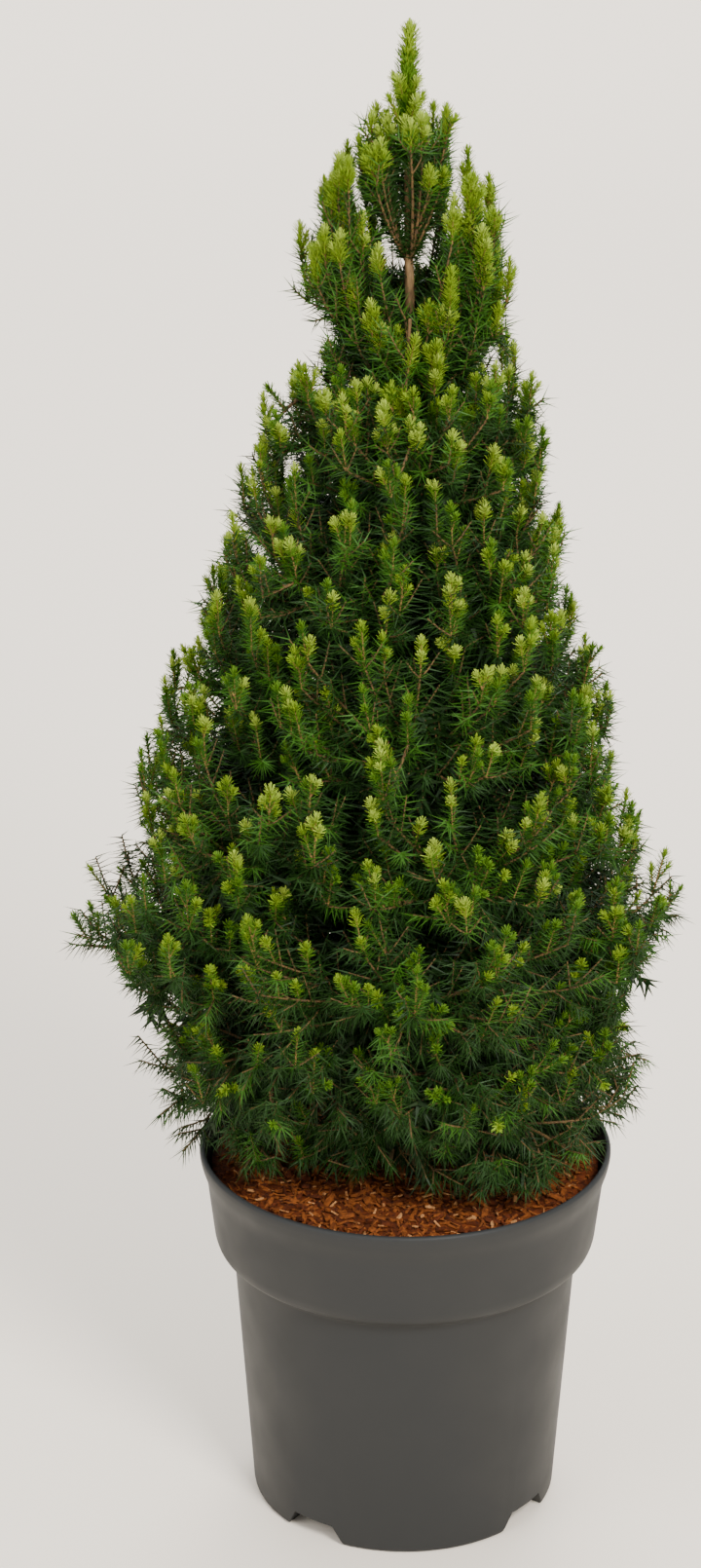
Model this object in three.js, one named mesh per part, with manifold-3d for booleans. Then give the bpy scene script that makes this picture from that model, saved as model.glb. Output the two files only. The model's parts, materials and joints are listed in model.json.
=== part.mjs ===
// A dwarf white spruce in a nursery pot: a cone of short upright shoots over a mulched container.
// Millimetres, +Z up. The origin is the centre of the pot's flat underside and the plant is seen from -Y.
import * as THREE from "three";
import { mergeVertices } from "three/addons/utils/BufferGeometryUtils.js";
import Module from "manifold-3d";

const wasm = await Module();
wasm.setup();

// Driving dimensions
const TOTAL_HEIGHT = 1100;
const CLEARANCE = 0.3;

const POT = {
  height: 279,
  lipRadius: 150,
  lipDrop: 8,
  collarTopRadius: 145,
  collarTopDrop: 22,
  collarLowRadius: 139.5,
  collarLowHeight: 210,
  tuckRadius: 137,
  tuckHeight: 203.5,
  bodyTopRadius: 126,
  bodyTopHeight: 197,
  footRadius: 112,
  footBevel: 4,
  wall: 2.4,
  lipRound: 1.6,
  lipRoundSteps: 4,
  floorHeight: 20,
  segments: 36,
};

// Four drain channels are moulded across the underside and open as notches in the foot
const DRAIN = {
  count: 4,
  firstAngle: 234,
  height: 15,
  width: 52,
  slant: 9,
  innerRadius: 62,
  below: 1,
  beyond: 10,
};

const MULCH = {
  topHeight: 268,
  layer: 22,
  unevenness: 3,
  flatRadius: 34,
  rings: 3,
};

const TRUNK = {
  footHeight: MULCH.topHeight + CLEARANCE,
  tipHeight: 1036,
  footRadius: 12.5,
  tipRadius: 1.7,
  flare: 6.5,
  flareHeight: 26,
  flareLobes: 5,
  flareLobeDepth: 0.28,
  leanX: -3,
  bendX: 5,
  bendY: 4,
  taperPower: 0.82,
  ringPower: 1.25,
  sides: 10,
  segments: 16,
};

// Each tier is a whorl of boughs. Heights are above the floor, angles run anticlockwise from +X.
// rise is the height gained out to the tip, bow the arch on the way, reach the tip's radius.
const TIERS = [
  {
    name: "skirt", attach: 306, count: 5, phase: 180, reach: 162, rise: 4, bow: 18,
    boughEnd: 0, fill: 0.8, twigs: 5, spray: 50,
  },
  {
    name: "low", attach: 350, count: 5, phase: 0, reach: 172, rise: 38, bow: 8,
    boughEnd: 0.34, fill: 0.9, twigs: 5, spray: 54,
  },
  {
    name: "broad", attach: 410, count: 4, phase: 180, reach: 196, rise: 50, bow: 4,
    boughEnd: 0.34, fill: 0.92, twigs: 7, spray: 58,
  },
  {
    name: "middle", attach: 478, count: 5, phase: 0, reach: 174, rise: 78, bow: 2,
    boughEnd: 0.32, fill: 0.92, twigs: 5, spray: 56,
  },
  {
    name: "upper", attach: 556, count: 4, phase: 180, reach: 149, rise: 96, bow: 0,
    boughEnd: 0, fill: 0.92, twigs: 5, spray: 54,
  },
  {
    name: "shoulder", attach: 640, count: 4, phase: 45, reach: 122, rise: 112, bow: 0,
    boughEnd: 0, fill: 0.92, twigs: 5, spray: 50,
  },
  {
    name: "neck", attach: 730, count: 4, phase: 0, reach: 93, rise: 122, bow: 0,
    boughEnd: 0, fill: 0.9, twigs: 5, spray: 46,
  },
  {
    name: "lobe", attach: 836, count: 4, phase: 0, reach: 66, rise: 128, bow: -10,
    boughEnd: 0, fill: 0, twigs: 6, spray: 42,
  },
  {
    name: "crown", attach: 934, count: 3, phase: 180, reach: 36, rise: 106, bow: -8,
    boughEnd: 0, fill: 0, twigs: 4, spray: 36,
  },
];

// The crown is fuller on its left, and these branches depart from their tier's reach and rise
const LEFT_FULLNESS = 0.09;
const ODD_BRANCHES = [
  { tier: "skirt", sector: 1, reach: 190, rise: 26 },
  { tier: "skirt", sector: 2, reach: 134, rise: 2 },
  { tier: "skirt", sector: 3, reach: 148, rise: 0 },
  { tier: "skirt", sector: 4, reach: 184, rise: 8 },
  { tier: "broad", sector: 1, reach: 248, rise: 36 },
  { tier: "broad", sector: 3, reach: 199, rise: 50 },
  { tier: "lobe", sector: 4, reach: 42, rise: 84 },
  { tier: "lobe", sector: 2, reach: 50, rise: 116 },
];

// The erect top shoot with its own two whorls of short side shoots
const LEADER = {
  baseHeight: 1040,
  tipShift: 2,
  stemRadius: 1.6,
  stemShare: 0.6,
  topSprayShare: 0.4,
  topSprayWidth: 8,
  whorls: 2,
  shootsPerWhorl: 3,
  whorlShares: [0.14, 0.32],
  whorlLeans: [0.5, 0.39],
  shootLengths: [34, 27.2],
  shootWidth: 6.4,
  unevenTurn: 0.3,
};

const BOUGH = { rootRadius: 4.6, tipRadius: 3.1, sides: 5, segments: 2 };

// A mass's stem: where it starts at the trunk its radius grows with the branch's reach
const STEM = {
  rootRadius: 2,
  radiusPerReach: 0.007,
  tipRadius: 1.3,
  endBeforeTip: 0.8,
  sides: 3,
  segments: 3,
};

// The core of a dense mass, in shares of its space; sink is how far a spray's root lies in it
const CORE = {
  around: 8,
  rings: 5,
  dent: 0.16,
  hollow: 0.7,
  lean: 0.06,
  squareness: 0.6,
  innerReach: 0.14,
  outerReach: 0.88,
  sideShare: 0.92,
  sink: 0.56,
};

// A spray's width is a share of its length. Its whorls stand at shares of what the twig leaves free.
const SPRAY = {
  width: 0.21,
  twigRoot: 0.2,
  twigTip: 0.12,
  firstNeedles: 0.44,
  firstFork: 0.38,
  forkWidth: 0.4,
  secondNeedles: 0.8,
  secondFork: 0.74,
  secondWidth: 0.86,
  secondForkWidth: 0.3,
  turnFrom: 0.6,
};

// Where the twigs of a mass leave its stem and where their tips stand in its space, as shares
const TWIG = {
  share: 0.45,
  topSprayStart: 0.03,
  firstAfterRoot: 0.06,
  acrossNear: 0.25,
  acrossFar: 0.8,
  outwardPull: 0.45,
  innerPull: 0.3,
  innerPullLoose: 0.12,
  mostOut: 0.985,
  upwardLow: 0.3,
  upwardHigh: 0.9,
  shorter: [1, 0.88, 0.76, 0.64],
};

const SPACE_MARGIN = 1;
const FLOOR_OF_CROWN = 283;
const SEED = 4107;
const NEAR = 1e-4;
const MERGE_STEPS = [5e-4, 1e-3, 2e-3];
const MOST_TRIES = 12;

const COLOURS = {
  pot: 0x4b4b48,
  mix: 0x2e1e14,
  mulch: 0x8a4422,
  bark: 0x8a6440,
  oldFoliage: 0x2f5a1f,
  newFoliage: 0x86a83a,
};

// Seeded random numbers between 0 and 1
function seededRandom(seed) {
  let state = seed >>> 0;
  return () => {
    state = (state + 0x6d2b79f5) >>> 0;
    let mixed = state;
    mixed = Math.imul(mixed ^ (mixed >>> 15), mixed | 1);
    mixed ^= mixed + Math.imul(mixed ^ (mixed >>> 7), mixed | 61);
    return ((mixed ^ (mixed >>> 14)) >>> 0) / 4294967296;
  };
}

const radians = THREE.MathUtils.degToRad;
const lerp = THREE.MathUtils.lerp;

function spread(random, amount) {
  return (random() * 2 - 1) * amount;
}

// Closed mesh and solid, each way
function toSolid(geometry) {
  const bare = geometry.clone();
  for (const name of Object.keys(bare.attributes)) {
    if (name !== "position") bare.deleteAttribute(name);
  }
  const merged = mergeVertices(bare, NEAR);
  const index = merged.index.array;
  const kept = [];
  for (let i = 0; i < index.length; i += 3) {
    const [a, b, c] = [index[i], index[i + 1], index[i + 2]];
    if (a !== b && b !== c && c !== a) kept.push(a, b, c);
  }
  return new wasm.Manifold(new wasm.Mesh({
    numProp: 3,
    vertProperties: new Float32Array(merged.attributes.position.array),
    triVerts: new Uint32Array(kept),
  }));
}

function toGeometry(solid) {
  const mesh = solid.getMesh();
  const geometry = new THREE.BufferGeometry();
  const positions = new Float32Array(mesh.numVert * 3);
  for (let i = 0; i < mesh.numVert; i += 1) {
    for (let k = 0; k < 3; k += 1) positions[i * 3 + k] = mesh.vertProperties[i * mesh.numProp + k];
  }
  geometry.setAttribute("position", new THREE.BufferAttribute(positions, 3));
  geometry.setIndex(new THREE.BufferAttribute(new Uint32Array(mesh.triVerts), 1));
  geometry.computeVertexNormals();
  return geometry;
}

function fuse(geometries) {
  let solid = toSolid(geometries[0]);
  for (const geometry of geometries.slice(1)) solid = solid.add(toSolid(geometry));
  return solid;
}

// Keeps the one main body: scraps that touch nothing and sealed hollows go
function mainBody(solid) {
  const bodies = solid.decompose();
  return bodies.reduce((best, body) => (body.volume() > best.volume() ? body : best));
}

// True where the surface stays closed once corners that nearly touch are merged
function staysClosed(geometry) {
  return MERGE_STEPS.every((step) => {
    const bare = geometry.clone();
    bare.deleteAttribute("normal");
    const index = mergeVertices(bare, step).index.array;
    const edges = new Map();
    for (let i = 0; i < index.length; i += 3) {
      const corners = [index[i], index[i + 1], index[i + 2]];
      if (new Set(corners).size < 3) continue;
      corners.forEach((from, k) => {
        const to = corners[(k + 1) % 3];
        const [low, high] = from < to ? [from, to] : [to, from];
        const key = `${low}_${high}`;
        edges.set(key, (edges.get(key) ?? 0) + 1);
      });
    }
    return [...edges.values()].every((count) => count === 2);
  });
}

// Trunk
function trunkAxis(height) {
  const share = (height - TRUNK.footHeight) / (TRUNK.tipHeight - TRUNK.footHeight);
  const arch = Math.sin(Math.PI * share);
  const wave = Math.sin(2 * Math.PI * share);
  return new THREE.Vector3(TRUNK.leanX * share + TRUNK.bendX * arch, TRUNK.bendY * wave, height);
}

function trunkRadius(height, angle = null) {
  const rise = Math.max(0, height - TRUNK.footHeight);
  const share = rise / (TRUNK.tipHeight - TRUNK.footHeight);
  const taper = lerp(TRUNK.footRadius, TRUNK.tipRadius, Math.pow(share, TRUNK.taperPower));
  const flare = TRUNK.flare * Math.exp(-rise / TRUNK.flareHeight);
  const lobe = angle === null ? 0 : TRUNK.flareLobeDepth * Math.cos(TRUNK.flareLobes * angle);
  return taper + flare * (1 + lobe);
}

function trunkGeometry(extra = 0) {
  const height = TRUNK.tipHeight - TRUNK.footHeight;
  const geometry = new THREE.CylinderGeometry(1, 1, height, TRUNK.sides, TRUNK.segments);
  geometry.rotateX(Math.PI / 2);
  const position = geometry.attributes.position;
  for (let i = 0; i < position.count; i += 1) {
    const unit = new THREE.Vector3().fromBufferAttribute(position, i);
    const share = THREE.MathUtils.clamp(unit.z / height + 0.5, 0, 1);
    const z = TRUNK.footHeight + height * Math.pow(share, TRUNK.ringPower);
    const angle = Math.atan2(unit.y, unit.x);
    const radius = Math.hypot(unit.x, unit.y) * (trunkRadius(z, angle) + extra);
    const axis = trunkAxis(z);
    position.setXYZ(i, axis.x + radius * Math.cos(angle), axis.y + radius * Math.sin(angle), z);
  }
  return geometry;
}

// A tapering limb along a curve, from one share of its length to another, with flat ends
function limb(curve, from, to, rootRadius, tipRadius, sides, segments) {
  const geometry = new THREE.CylinderGeometry(1, 1, 1, sides, segments);
  const position = geometry.attributes.position;
  const up = new THREE.Vector3(0, 0, 1);
  for (let i = 0; i < position.count; i += 1) {
    const share = position.getY(i) + 0.5;
    const at = lerp(from, to, share);
    const centre = curve.getPoint(at);
    const tangent = curve.getTangent(at);
    const side = new THREE.Vector3().crossVectors(tangent, up);
    if (side.length() < 1e-3) side.set(1, 0, 0);
    side.normalize();
    const top = new THREE.Vector3().crossVectors(side, tangent);
    const radius = lerp(rootRadius, tipRadius, share);
    centre.addScaledVector(side, -position.getZ(i) * radius);
    centre.addScaledVector(top, position.getX(i) * radius);
    position.setXYZ(i, centre.x, centre.y, centre.z);
  }
  return geometry;
}

// A spray of needles on its twig: a slim three-sided core with one or two whorls of needles that
// point forward. Each outline runs from the root out to the tip, as shares of width and length.
function sprayOutline(twigShare, whorls) {
  const at = (share) => lerp(twigShare, 1, share);
  const outline = [[0, 0]];
  if (twigShare > 0) outline.push([SPRAY.twigRoot, 0.02], [SPRAY.twigTip, twigShare]);
  outline.push([1, at(SPRAY.firstNeedles)], [SPRAY.forkWidth, at(SPRAY.firstFork)]);
  if (whorls > 1) {
    outline.push([SPRAY.secondWidth, at(SPRAY.secondNeedles)]);
    outline.push([SPRAY.secondForkWidth, at(SPRAY.secondFork)]);
  }
  outline.push([0, 1]);
  return outline;
}

function spray(root, tip, width, twist, twigShare, whorls) {
  const length = root.distanceTo(tip);
  const outline = sprayOutline(twigShare, whorls)
    .map(([out, along]) => new THREE.Vector2(out * width, along * length));
  const geometry = new THREE.LatheGeometry(outline, 3);
  const position = geometry.attributes.position;
  const secondWhorl = lerp(twigShare, 1, SPRAY.turnFrom) * length;
  for (let i = 0; i < position.count; i += 1) {
    const turn = position.getY(i) > secondWhorl ? Math.PI / 3 : 0;
    const [x, z] = [position.getX(i), position.getZ(i)];
    position.setX(i, x * Math.cos(turn) - z * Math.sin(turn));
    position.setZ(i, x * Math.sin(turn) + z * Math.cos(turn));
  }
  geometry.rotateY(twist);
  const direction = new THREE.Vector3().subVectors(tip, root).normalize();
  const turned = new THREE.Quaternion().setFromUnitVectors(new THREE.Vector3(0, 1, 0), direction);
  geometry.applyQuaternion(turned);
  geometry.translate(root.x, root.y, root.z);
  return geometry;
}

// The route of one branch from the trunk's axis to its tip
function branchOf(tier, sector) {
  const odd = ODD_BRANCHES.find((entry) => entry.tier === tier.name && entry.sector === sector);
  const angle = radians(tier.phase + ((sector - 1) * 360) / tier.count);
  const reach = odd ? odd.reach : tier.reach * (1 - LEFT_FULLNESS * Math.cos(angle));
  const rise = odd ? odd.rise : tier.rise;
  return { angle, reach, rise, bow: tier.bow, attach: tier.attach };
}

function branchHeight(branch, radius) {
  const share = radius / branch.reach;
  return branch.attach + branch.rise * share + branch.bow * 4 * share * (1 - share);
}

function branchCurve(branch) {
  const points = [];
  const steps = 6;
  const foot = trunkAxis(branch.attach);
  for (let i = 0; i <= steps; i += 1) {
    const share = i / steps;
    const radius = branch.reach * share;
    const sway = 1 - share;
    points.push(new THREE.Vector3(
      radius * Math.cos(branch.angle) + foot.x * sway,
      radius * Math.sin(branch.angle) + foot.y * sway,
      branchHeight(branch, radius),
    ));
  }
  return new THREE.CatmullRomCurve3(points);
}

// The space of one branch: its own slice of angle, between the surfaces half way to the next tiers
function tierHeight(tier, radius) {
  return branchHeight({ attach: tier.attach, reach: tier.reach, rise: tier.rise, bow: tier.bow }, radius);
}

function spaceHeights(tierNumber, radius) {
  const own = tierHeight(TIERS[tierNumber], radius);
  const below = TIERS[tierNumber - 1];
  const above = TIERS[tierNumber + 1];
  return {
    floor: below ? (own + tierHeight(below, radius)) / 2 : FLOOR_OF_CROWN,
    ceiling: above ? (own + tierHeight(above, radius)) / 2 : LEADER.baseHeight,
  };
}

function spaceOf(tierNumber, branch) {
  const half = Math.PI / TIERS[tierNumber].count;
  return (point) => {
    const radius = Math.hypot(point.x, point.y);
    const turn = Math.atan2(point.y, point.x) - branch.angle;
    const off = Math.abs(Math.atan2(Math.sin(turn), Math.cos(turn)));
    if (off > half || radius * Math.sin(half - off) < SPACE_MARGIN) return false;
    if (radius > branch.reach) return false;
    const { floor, ceiling } = spaceHeights(tierNumber, radius);
    return point.z > floor + SPACE_MARGIN && point.z < ceiling - SPACE_MARGIN;
  };
}

// True where every corner and every edge's middle lies in the space
function fits(geometry, inSpace) {
  const flat = geometry.index ? geometry.toNonIndexed() : geometry;
  const position = flat.attributes.position;
  const corners = [0, 1, 2].map(() => new THREE.Vector3());
  for (let i = 0; i < position.count; i += 3) {
    corners.forEach((corner, k) => corner.fromBufferAttribute(position, i + k));
    for (let k = 0; k < 3; k += 1) {
      const middle = corners[k].clone().lerp(corners[(k + 1) % 3], 0.5);
      if (!inSpace(corners[k]) || !inSpace(middle)) return false;
    }
  }
  return true;
}

// A point of a branch's space: how far across it, out from the trunk and up between its surfaces
function spacePoint(tierNumber, branch, across, out, upward) {
  const half = Math.PI / TIERS[tierNumber].count;
  const radius = branch.reach * out;
  const { floor, ceiling } = spaceHeights(tierNumber, radius);
  const angle = branch.angle + across * half;
  return new THREE.Vector3(
    radius * Math.cos(angle),
    radius * Math.sin(angle),
    lerp(floor, ceiling, upward),
  );
}

// Pushes a ball's coordinate outwards, so that a tuft fills the corners of its space
function squarer(value) {
  return Math.sign(value) * Math.pow(Math.abs(value), CORE.squareness);
}

// The core of a dense mass: a tuft that fills the middle of its space, every other corner a point
function coreGeometry(tierNumber, branch, random) {
  const { fill } = TIERS[tierNumber];
  const ball = new THREE.SphereGeometry(1, CORE.around, CORE.rings);
  const geometry = mergeVertices(ball.deleteAttribute("normal").deleteAttribute("uv"), NEAR);
  const position = geometry.attributes.position;
  for (let i = 0; i < position.count; i += 1) {
    const [x, y, z] = [position.getX(i), position.getY(i), position.getZ(i)];
    const around = Math.round((Math.atan2(z, x) / (2 * Math.PI)) * CORE.around);
    const ring = Math.round((Math.acos(THREE.MathUtils.clamp(y, -1, 1)) / Math.PI) * CORE.rings);
    const isPoint = Math.abs(around + ring) % 2 === 0;
    const size = (isPoint ? 1 : CORE.hollow) * fill * (1 - random() * CORE.dent);
    const out = lerp(CORE.innerReach, CORE.outerReach, 0.5 + 0.5 * y * size + (isPoint ? CORE.lean : 0));
    const corner = spacePoint(
      tierNumber,
      branch,
      -squarer(x) * size * CORE.sideShare,
      Math.min(out, CORE.outerReach),
      0.5 + (squarer(z) * size) / 2,
    );
    position.setXYZ(i, corner.x, corner.y, corner.z);
  }
  return geometry;
}

// One mass: a stem, side twigs by the seeded rule, and sprays that are fused on
function massPieces(tierNumber, sector, branch, curve, attempt) {
  const tier = TIERS[tierNumber];
  const random = seededRandom(SEED + tierNumber * 100 + sector * 10 + attempt * 1000);
  const inSpace = spaceOf(tierNumber, branch);
  const length = curve.getLength();
  const isDense = tier.fill > 0;
  const onBough = tier.boughEnd > 0;
  const stemStart = onBough ? tier.boughEnd + CLEARANCE / length : 0;
  const stemEnd = 1 - (tier.spray * STEM.endBeforeTip) / length;
  const stemRadius = onBough ? BOUGH.tipRadius : STEM.rootRadius + STEM.radiusPerReach * branch.reach;
  const pieces = [limb(curve, stemStart, stemEnd, stemRadius, STEM.tipRadius, STEM.sides, STEM.segments)];
  if (isDense) pieces.push(coreGeometry(tierNumber, branch, random));

  const addSpray = (root, tip, twigShare, whorls) => {
    for (const share of TWIG.shorter) {
      const end = root.clone().lerp(tip, share);
      const made = spray(root, end, tier.spray * SPRAY.width, random() * Math.PI, twigShare, whorls);
      if (fits(made, inSpace)) {
        pieces.push(made);
        return;
      }
    }
  };

  addSpray(curve.getPoint(stemEnd - TWIG.topSprayStart), curve.getPoint(1), 0, 2);
  for (let i = 0; i < tier.twigs; i += 1) {
    const hand = i % 2 === 0 ? 1 : -1;
    const outward = (i + 0.5) / tier.twigs;
    const share = lerp(stemStart + TWIG.firstAfterRoot, stemEnd - TWIG.firstAfterRoot, outward);
    const across = hand * lerp(TWIG.acrossNear, TWIG.acrossFar, random());
    const pull = (isDense ? TWIG.innerPull : TWIG.innerPullLoose) * (1 - outward);
    const out = Math.min(TWIG.mostOut, lerp(share, 1, TWIG.outwardPull) + pull);
    const upward = lerp(TWIG.upwardLow, TWIG.upwardHigh, random());
    const tip = spacePoint(tierNumber, branch, across, out, upward);
    const onStem = curve.getPoint(share);
    if (isDense) addSpray(onStem.lerp(tip, CORE.sink), tip, 0, 1 + (i % 2));
    else addSpray(onStem, tip, TWIG.share, 1);
  }
  return pieces;
}

// The mass as one closed body, cut clear of the trunk and of its own bough
function massGeometry(tierNumber, sector, branch, curve, rooms) {
  for (let attempt = 0; attempt < MOST_TRIES; attempt += 1) {
    let solid = fuse(massPieces(tierNumber, sector, branch, curve, attempt));
    for (const room of rooms) solid = solid.subtract(room);
    const geometry = toGeometry(mainBody(solid));
    if (staysClosed(geometry)) return geometry;
  }
  throw new Error(`no closed mass for ${TIERS[tierNumber].name} ${sector}`);
}

function material(name, colour, roughness) {
  return new THREE.MeshStandardMaterial({ name, color: colour, roughness, metalness: 0 });
}

function node(name, geometry, surface) {
  const mesh = new THREE.Mesh(geometry, surface);
  mesh.name = name;
  return mesh;
}

// Pot: one moulded shell with a lip, a deep collar, a tapering body and four drain notches
function arcPoints(centre, radius, fromDegrees, toDegrees, steps) {
  const points = [];
  for (let i = 0; i <= steps; i += 1) {
    const angle = radians(lerp(fromDegrees, toDegrees, i / steps));
    points.push(new THREE.Vector2(centre.x + radius * Math.cos(angle), centre.y + radius * Math.sin(angle)));
  }
  return points;
}

function potOutline() {
  const lipCentre = new THREE.Vector2(POT.lipRadius - POT.lipRound, POT.height - POT.lipRound);
  return [
    new THREE.Vector2(0, 0),
    new THREE.Vector2(POT.footRadius - POT.footBevel, 0),
    new THREE.Vector2(POT.footRadius, POT.footBevel),
    new THREE.Vector2(POT.bodyTopRadius, POT.bodyTopHeight),
    new THREE.Vector2(POT.tuckRadius, POT.tuckHeight),
    new THREE.Vector2(POT.collarLowRadius, POT.collarLowHeight),
    new THREE.Vector2(POT.collarTopRadius, POT.height - POT.collarTopDrop),
    new THREE.Vector2(POT.lipRadius, POT.height - POT.lipDrop),
    ...arcPoints(lipCentre, POT.lipRound, 0, 180, POT.lipRoundSteps),
    new THREE.Vector2(POT.collarTopRadius - POT.wall, POT.height - POT.collarTopDrop),
    new THREE.Vector2(POT.collarLowRadius - POT.wall, POT.collarLowHeight),
    new THREE.Vector2(POT.bodyTopRadius - POT.wall, POT.bodyTopHeight),
    new THREE.Vector2(innerRadius(POT.floorHeight), POT.floorHeight),
    new THREE.Vector2(0, POT.floorHeight),
  ];
}

// The body's inner radius at a height below the collar
function innerRadius(height) {
  const share = (height - POT.footBevel) / (POT.bodyTopHeight - POT.footBevel);
  return lerp(POT.footRadius, POT.bodyTopRadius, share) - POT.wall;
}

// A drain channel is a long trapezium under the floor, closed above by the floor's own thickness
function drainGeometry(angle) {
  const shape = new THREE.Shape();
  shape.moveTo(-DRAIN.width / 2, -DRAIN.below);
  shape.lineTo(DRAIN.width / 2, -DRAIN.below);
  shape.lineTo(DRAIN.width / 2 - DRAIN.slant, DRAIN.height);
  shape.lineTo(-DRAIN.width / 2 + DRAIN.slant, DRAIN.height);
  shape.closePath();
  const depth = POT.footRadius - DRAIN.innerRadius + DRAIN.beyond;
  const geometry = new THREE.ExtrudeGeometry(shape, { depth, bevelEnabled: false });
  geometry.rotateX(Math.PI / 2);
  geometry.translate(0, -DRAIN.innerRadius, 0);
  geometry.rotateZ(angle + Math.PI / 2);
  return geometry;
}

function potSolid() {
  const shell = new THREE.LatheGeometry(potOutline(), POT.segments);
  shell.rotateX(Math.PI / 2);
  let solid = toSolid(shell);
  for (let i = 0; i < DRAIN.count; i += 1) {
    const angle = radians(DRAIN.firstAngle + (i * 360) / DRAIN.count);
    solid = solid.subtract(toSolid(drainGeometry(angle)));
  }
  return mainBody(solid);
}

// The fill's outline follows the pot's inner wall, clear of it
function mixGeometry() {
  const floor = POT.floorHeight + CLEARANCE;
  const top = MULCH.topHeight - MULCH.layer;
  const inset = POT.wall + CLEARANCE;
  const collarShare = (top - POT.collarLowHeight) / (POT.height - POT.collarTopDrop - POT.collarLowHeight);
  const topRadius = lerp(POT.collarLowRadius, POT.collarTopRadius, collarShare) - inset;
  const geometry = new THREE.LatheGeometry([
    new THREE.Vector2(0, floor),
    new THREE.Vector2(innerRadius(POT.floorHeight) - CLEARANCE, floor),
    new THREE.Vector2(POT.bodyTopRadius - inset, POT.bodyTopHeight),
    new THREE.Vector2(POT.collarLowRadius - inset, POT.collarLowHeight),
    new THREE.Vector2(topRadius, top),
    new THREE.Vector2(0, top),
  ], POT.segments);
  geometry.rotateX(Math.PI / 2);
  return geometry;
}

// The mulch is a thin bed whose top is uneven, and flat where the trunk stands
function mulchGeometry() {
  const random = seededRandom(SEED);
  const base = MULCH.topHeight - MULCH.layer + CLEARANCE;
  const share = (base - POT.collarLowHeight) / (POT.height - POT.collarTopDrop - POT.collarLowHeight);
  const rimRadius = lerp(POT.collarLowRadius, POT.collarTopRadius, share) - POT.wall - CLEARANCE;
  const outline = [
    new THREE.Vector2(0, base),
    new THREE.Vector2(rimRadius, base),
    new THREE.Vector2(rimRadius, MULCH.topHeight - MULCH.unevenness),
  ];
  for (let ring = MULCH.rings - 1; ring >= 0; ring -= 1) {
    const radius = lerp(MULCH.flatRadius, rimRadius, ring / MULCH.rings);
    outline.push(new THREE.Vector2(radius, MULCH.topHeight));
  }
  outline.push(new THREE.Vector2(0, MULCH.topHeight));
  const geometry = new THREE.LatheGeometry(outline, POT.segments);
  geometry.rotateX(Math.PI / 2);
  const merged = mergeVertices(geometry.deleteAttribute("normal").deleteAttribute("uv"), NEAR);
  const position = merged.attributes.position;
  for (let i = 0; i < position.count; i += 1) {
    const radius = Math.hypot(position.getX(i), position.getY(i));
    const onTop = position.getZ(i) > MULCH.topHeight - NEAR && radius > MULCH.flatRadius + NEAR;
    if (onTop) position.setZ(i, MULCH.topHeight - random() * MULCH.unevenness);
  }
  return merged;
}

// Leader: the erect top shoot that carries on from the trunk's tip
function leaderSolid() {
  const random = seededRandom(SEED - 1);
  const foot = trunkAxis(TRUNK.tipHeight);
  const start = new THREE.Vector3(foot.x, foot.y, TRUNK.tipHeight + CLEARANCE);
  const tip = new THREE.Vector3(foot.x + LEADER.tipShift, foot.y, TOTAL_HEIGHT);
  const axis = new THREE.LineCurve3(start, tip);
  const pieces = [limb(axis, 0, LEADER.stemShare, LEADER.stemRadius, STEM.tipRadius, STEM.sides, 1)];
  pieces.push(spray(axis.getPoint(LEADER.topSprayShare), tip, LEADER.topSprayWidth, 0, 0, 2));
  for (let whorl = 0; whorl < LEADER.whorls; whorl += 1) {
    const root = axis.getPoint(LEADER.whorlShares[whorl]);
    const lean = LEADER.whorlLeans[whorl];
    for (let i = 0; i < LEADER.shootsPerWhorl; i += 1) {
      const turn = ((i + 0.5 * whorl) / LEADER.shootsPerWhorl) * 2 * Math.PI;
      const angle = turn + spread(random, LEADER.unevenTurn);
      const direction = new THREE.Vector3(Math.cos(angle) * lean, Math.sin(angle) * lean, 1);
      const end = root.clone().addScaledVector(direction, LEADER.shootLengths[whorl]);
      pieces.push(spray(root, end, LEADER.shootWidth, random() * Math.PI, 0, 1));
    }
  }
  return mainBody(fuse(pieces));
}

const group = new THREE.Group();
group.name = "potted_spruce";

const bark = material("bark", COLOURS.bark, 0.85);
group.add(node("pot", toGeometry(potSolid()), material("pot_plastic", COLOURS.pot, 0.5)));
group.add(node("potting_mix", toGeometry(toSolid(mixGeometry())), material("mix", COLOURS.mix, 0.95)));
group.add(node("bark_mulch", toGeometry(toSolid(mulchGeometry())), material("mulch", COLOURS.mulch, 0.95)));
group.add(node("trunk", toGeometry(toSolid(trunkGeometry())), bark));

const trunkRoom = toSolid(trunkGeometry(CLEARANCE));
TIERS.forEach((tier, tierNumber) => {
  for (let sector = 1; sector <= tier.count; sector += 1) {
    const branch = branchOf(tier, sector);
    const curve = branchCurve(branch);
    const rooms = [trunkRoom];
    if (tier.boughEnd > 0) {
      const boughLimb = (extra) => toSolid(limb(
        curve,
        0,
        tier.boughEnd,
        BOUGH.rootRadius + extra,
        BOUGH.tipRadius + extra,
        BOUGH.sides,
        BOUGH.segments,
      ));
      const bough = mainBody(boughLimb(0).subtract(trunkRoom));
      group.add(node(`${tier.name}_bough_${sector}`, toGeometry(bough), bark));
      rooms.push(boughLimb(CLEARANCE));
    }
    const tone = new THREE.Color(COLOURS.oldFoliage).lerp(
      new THREE.Color(COLOURS.newFoliage),
      branch.attach / TOTAL_HEIGHT / 2,
    );
    const mass = massGeometry(tierNumber, sector, branch, curve, rooms);
    group.add(node(`${tier.name}_foliage_${sector}`, mass, material("needles", tone, 0.7)));
  }
});
group.add(node("leader_foliage", toGeometry(leaderSolid()), material("needles", COLOURS.newFoliage, 0.7)));

export default group;
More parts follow.
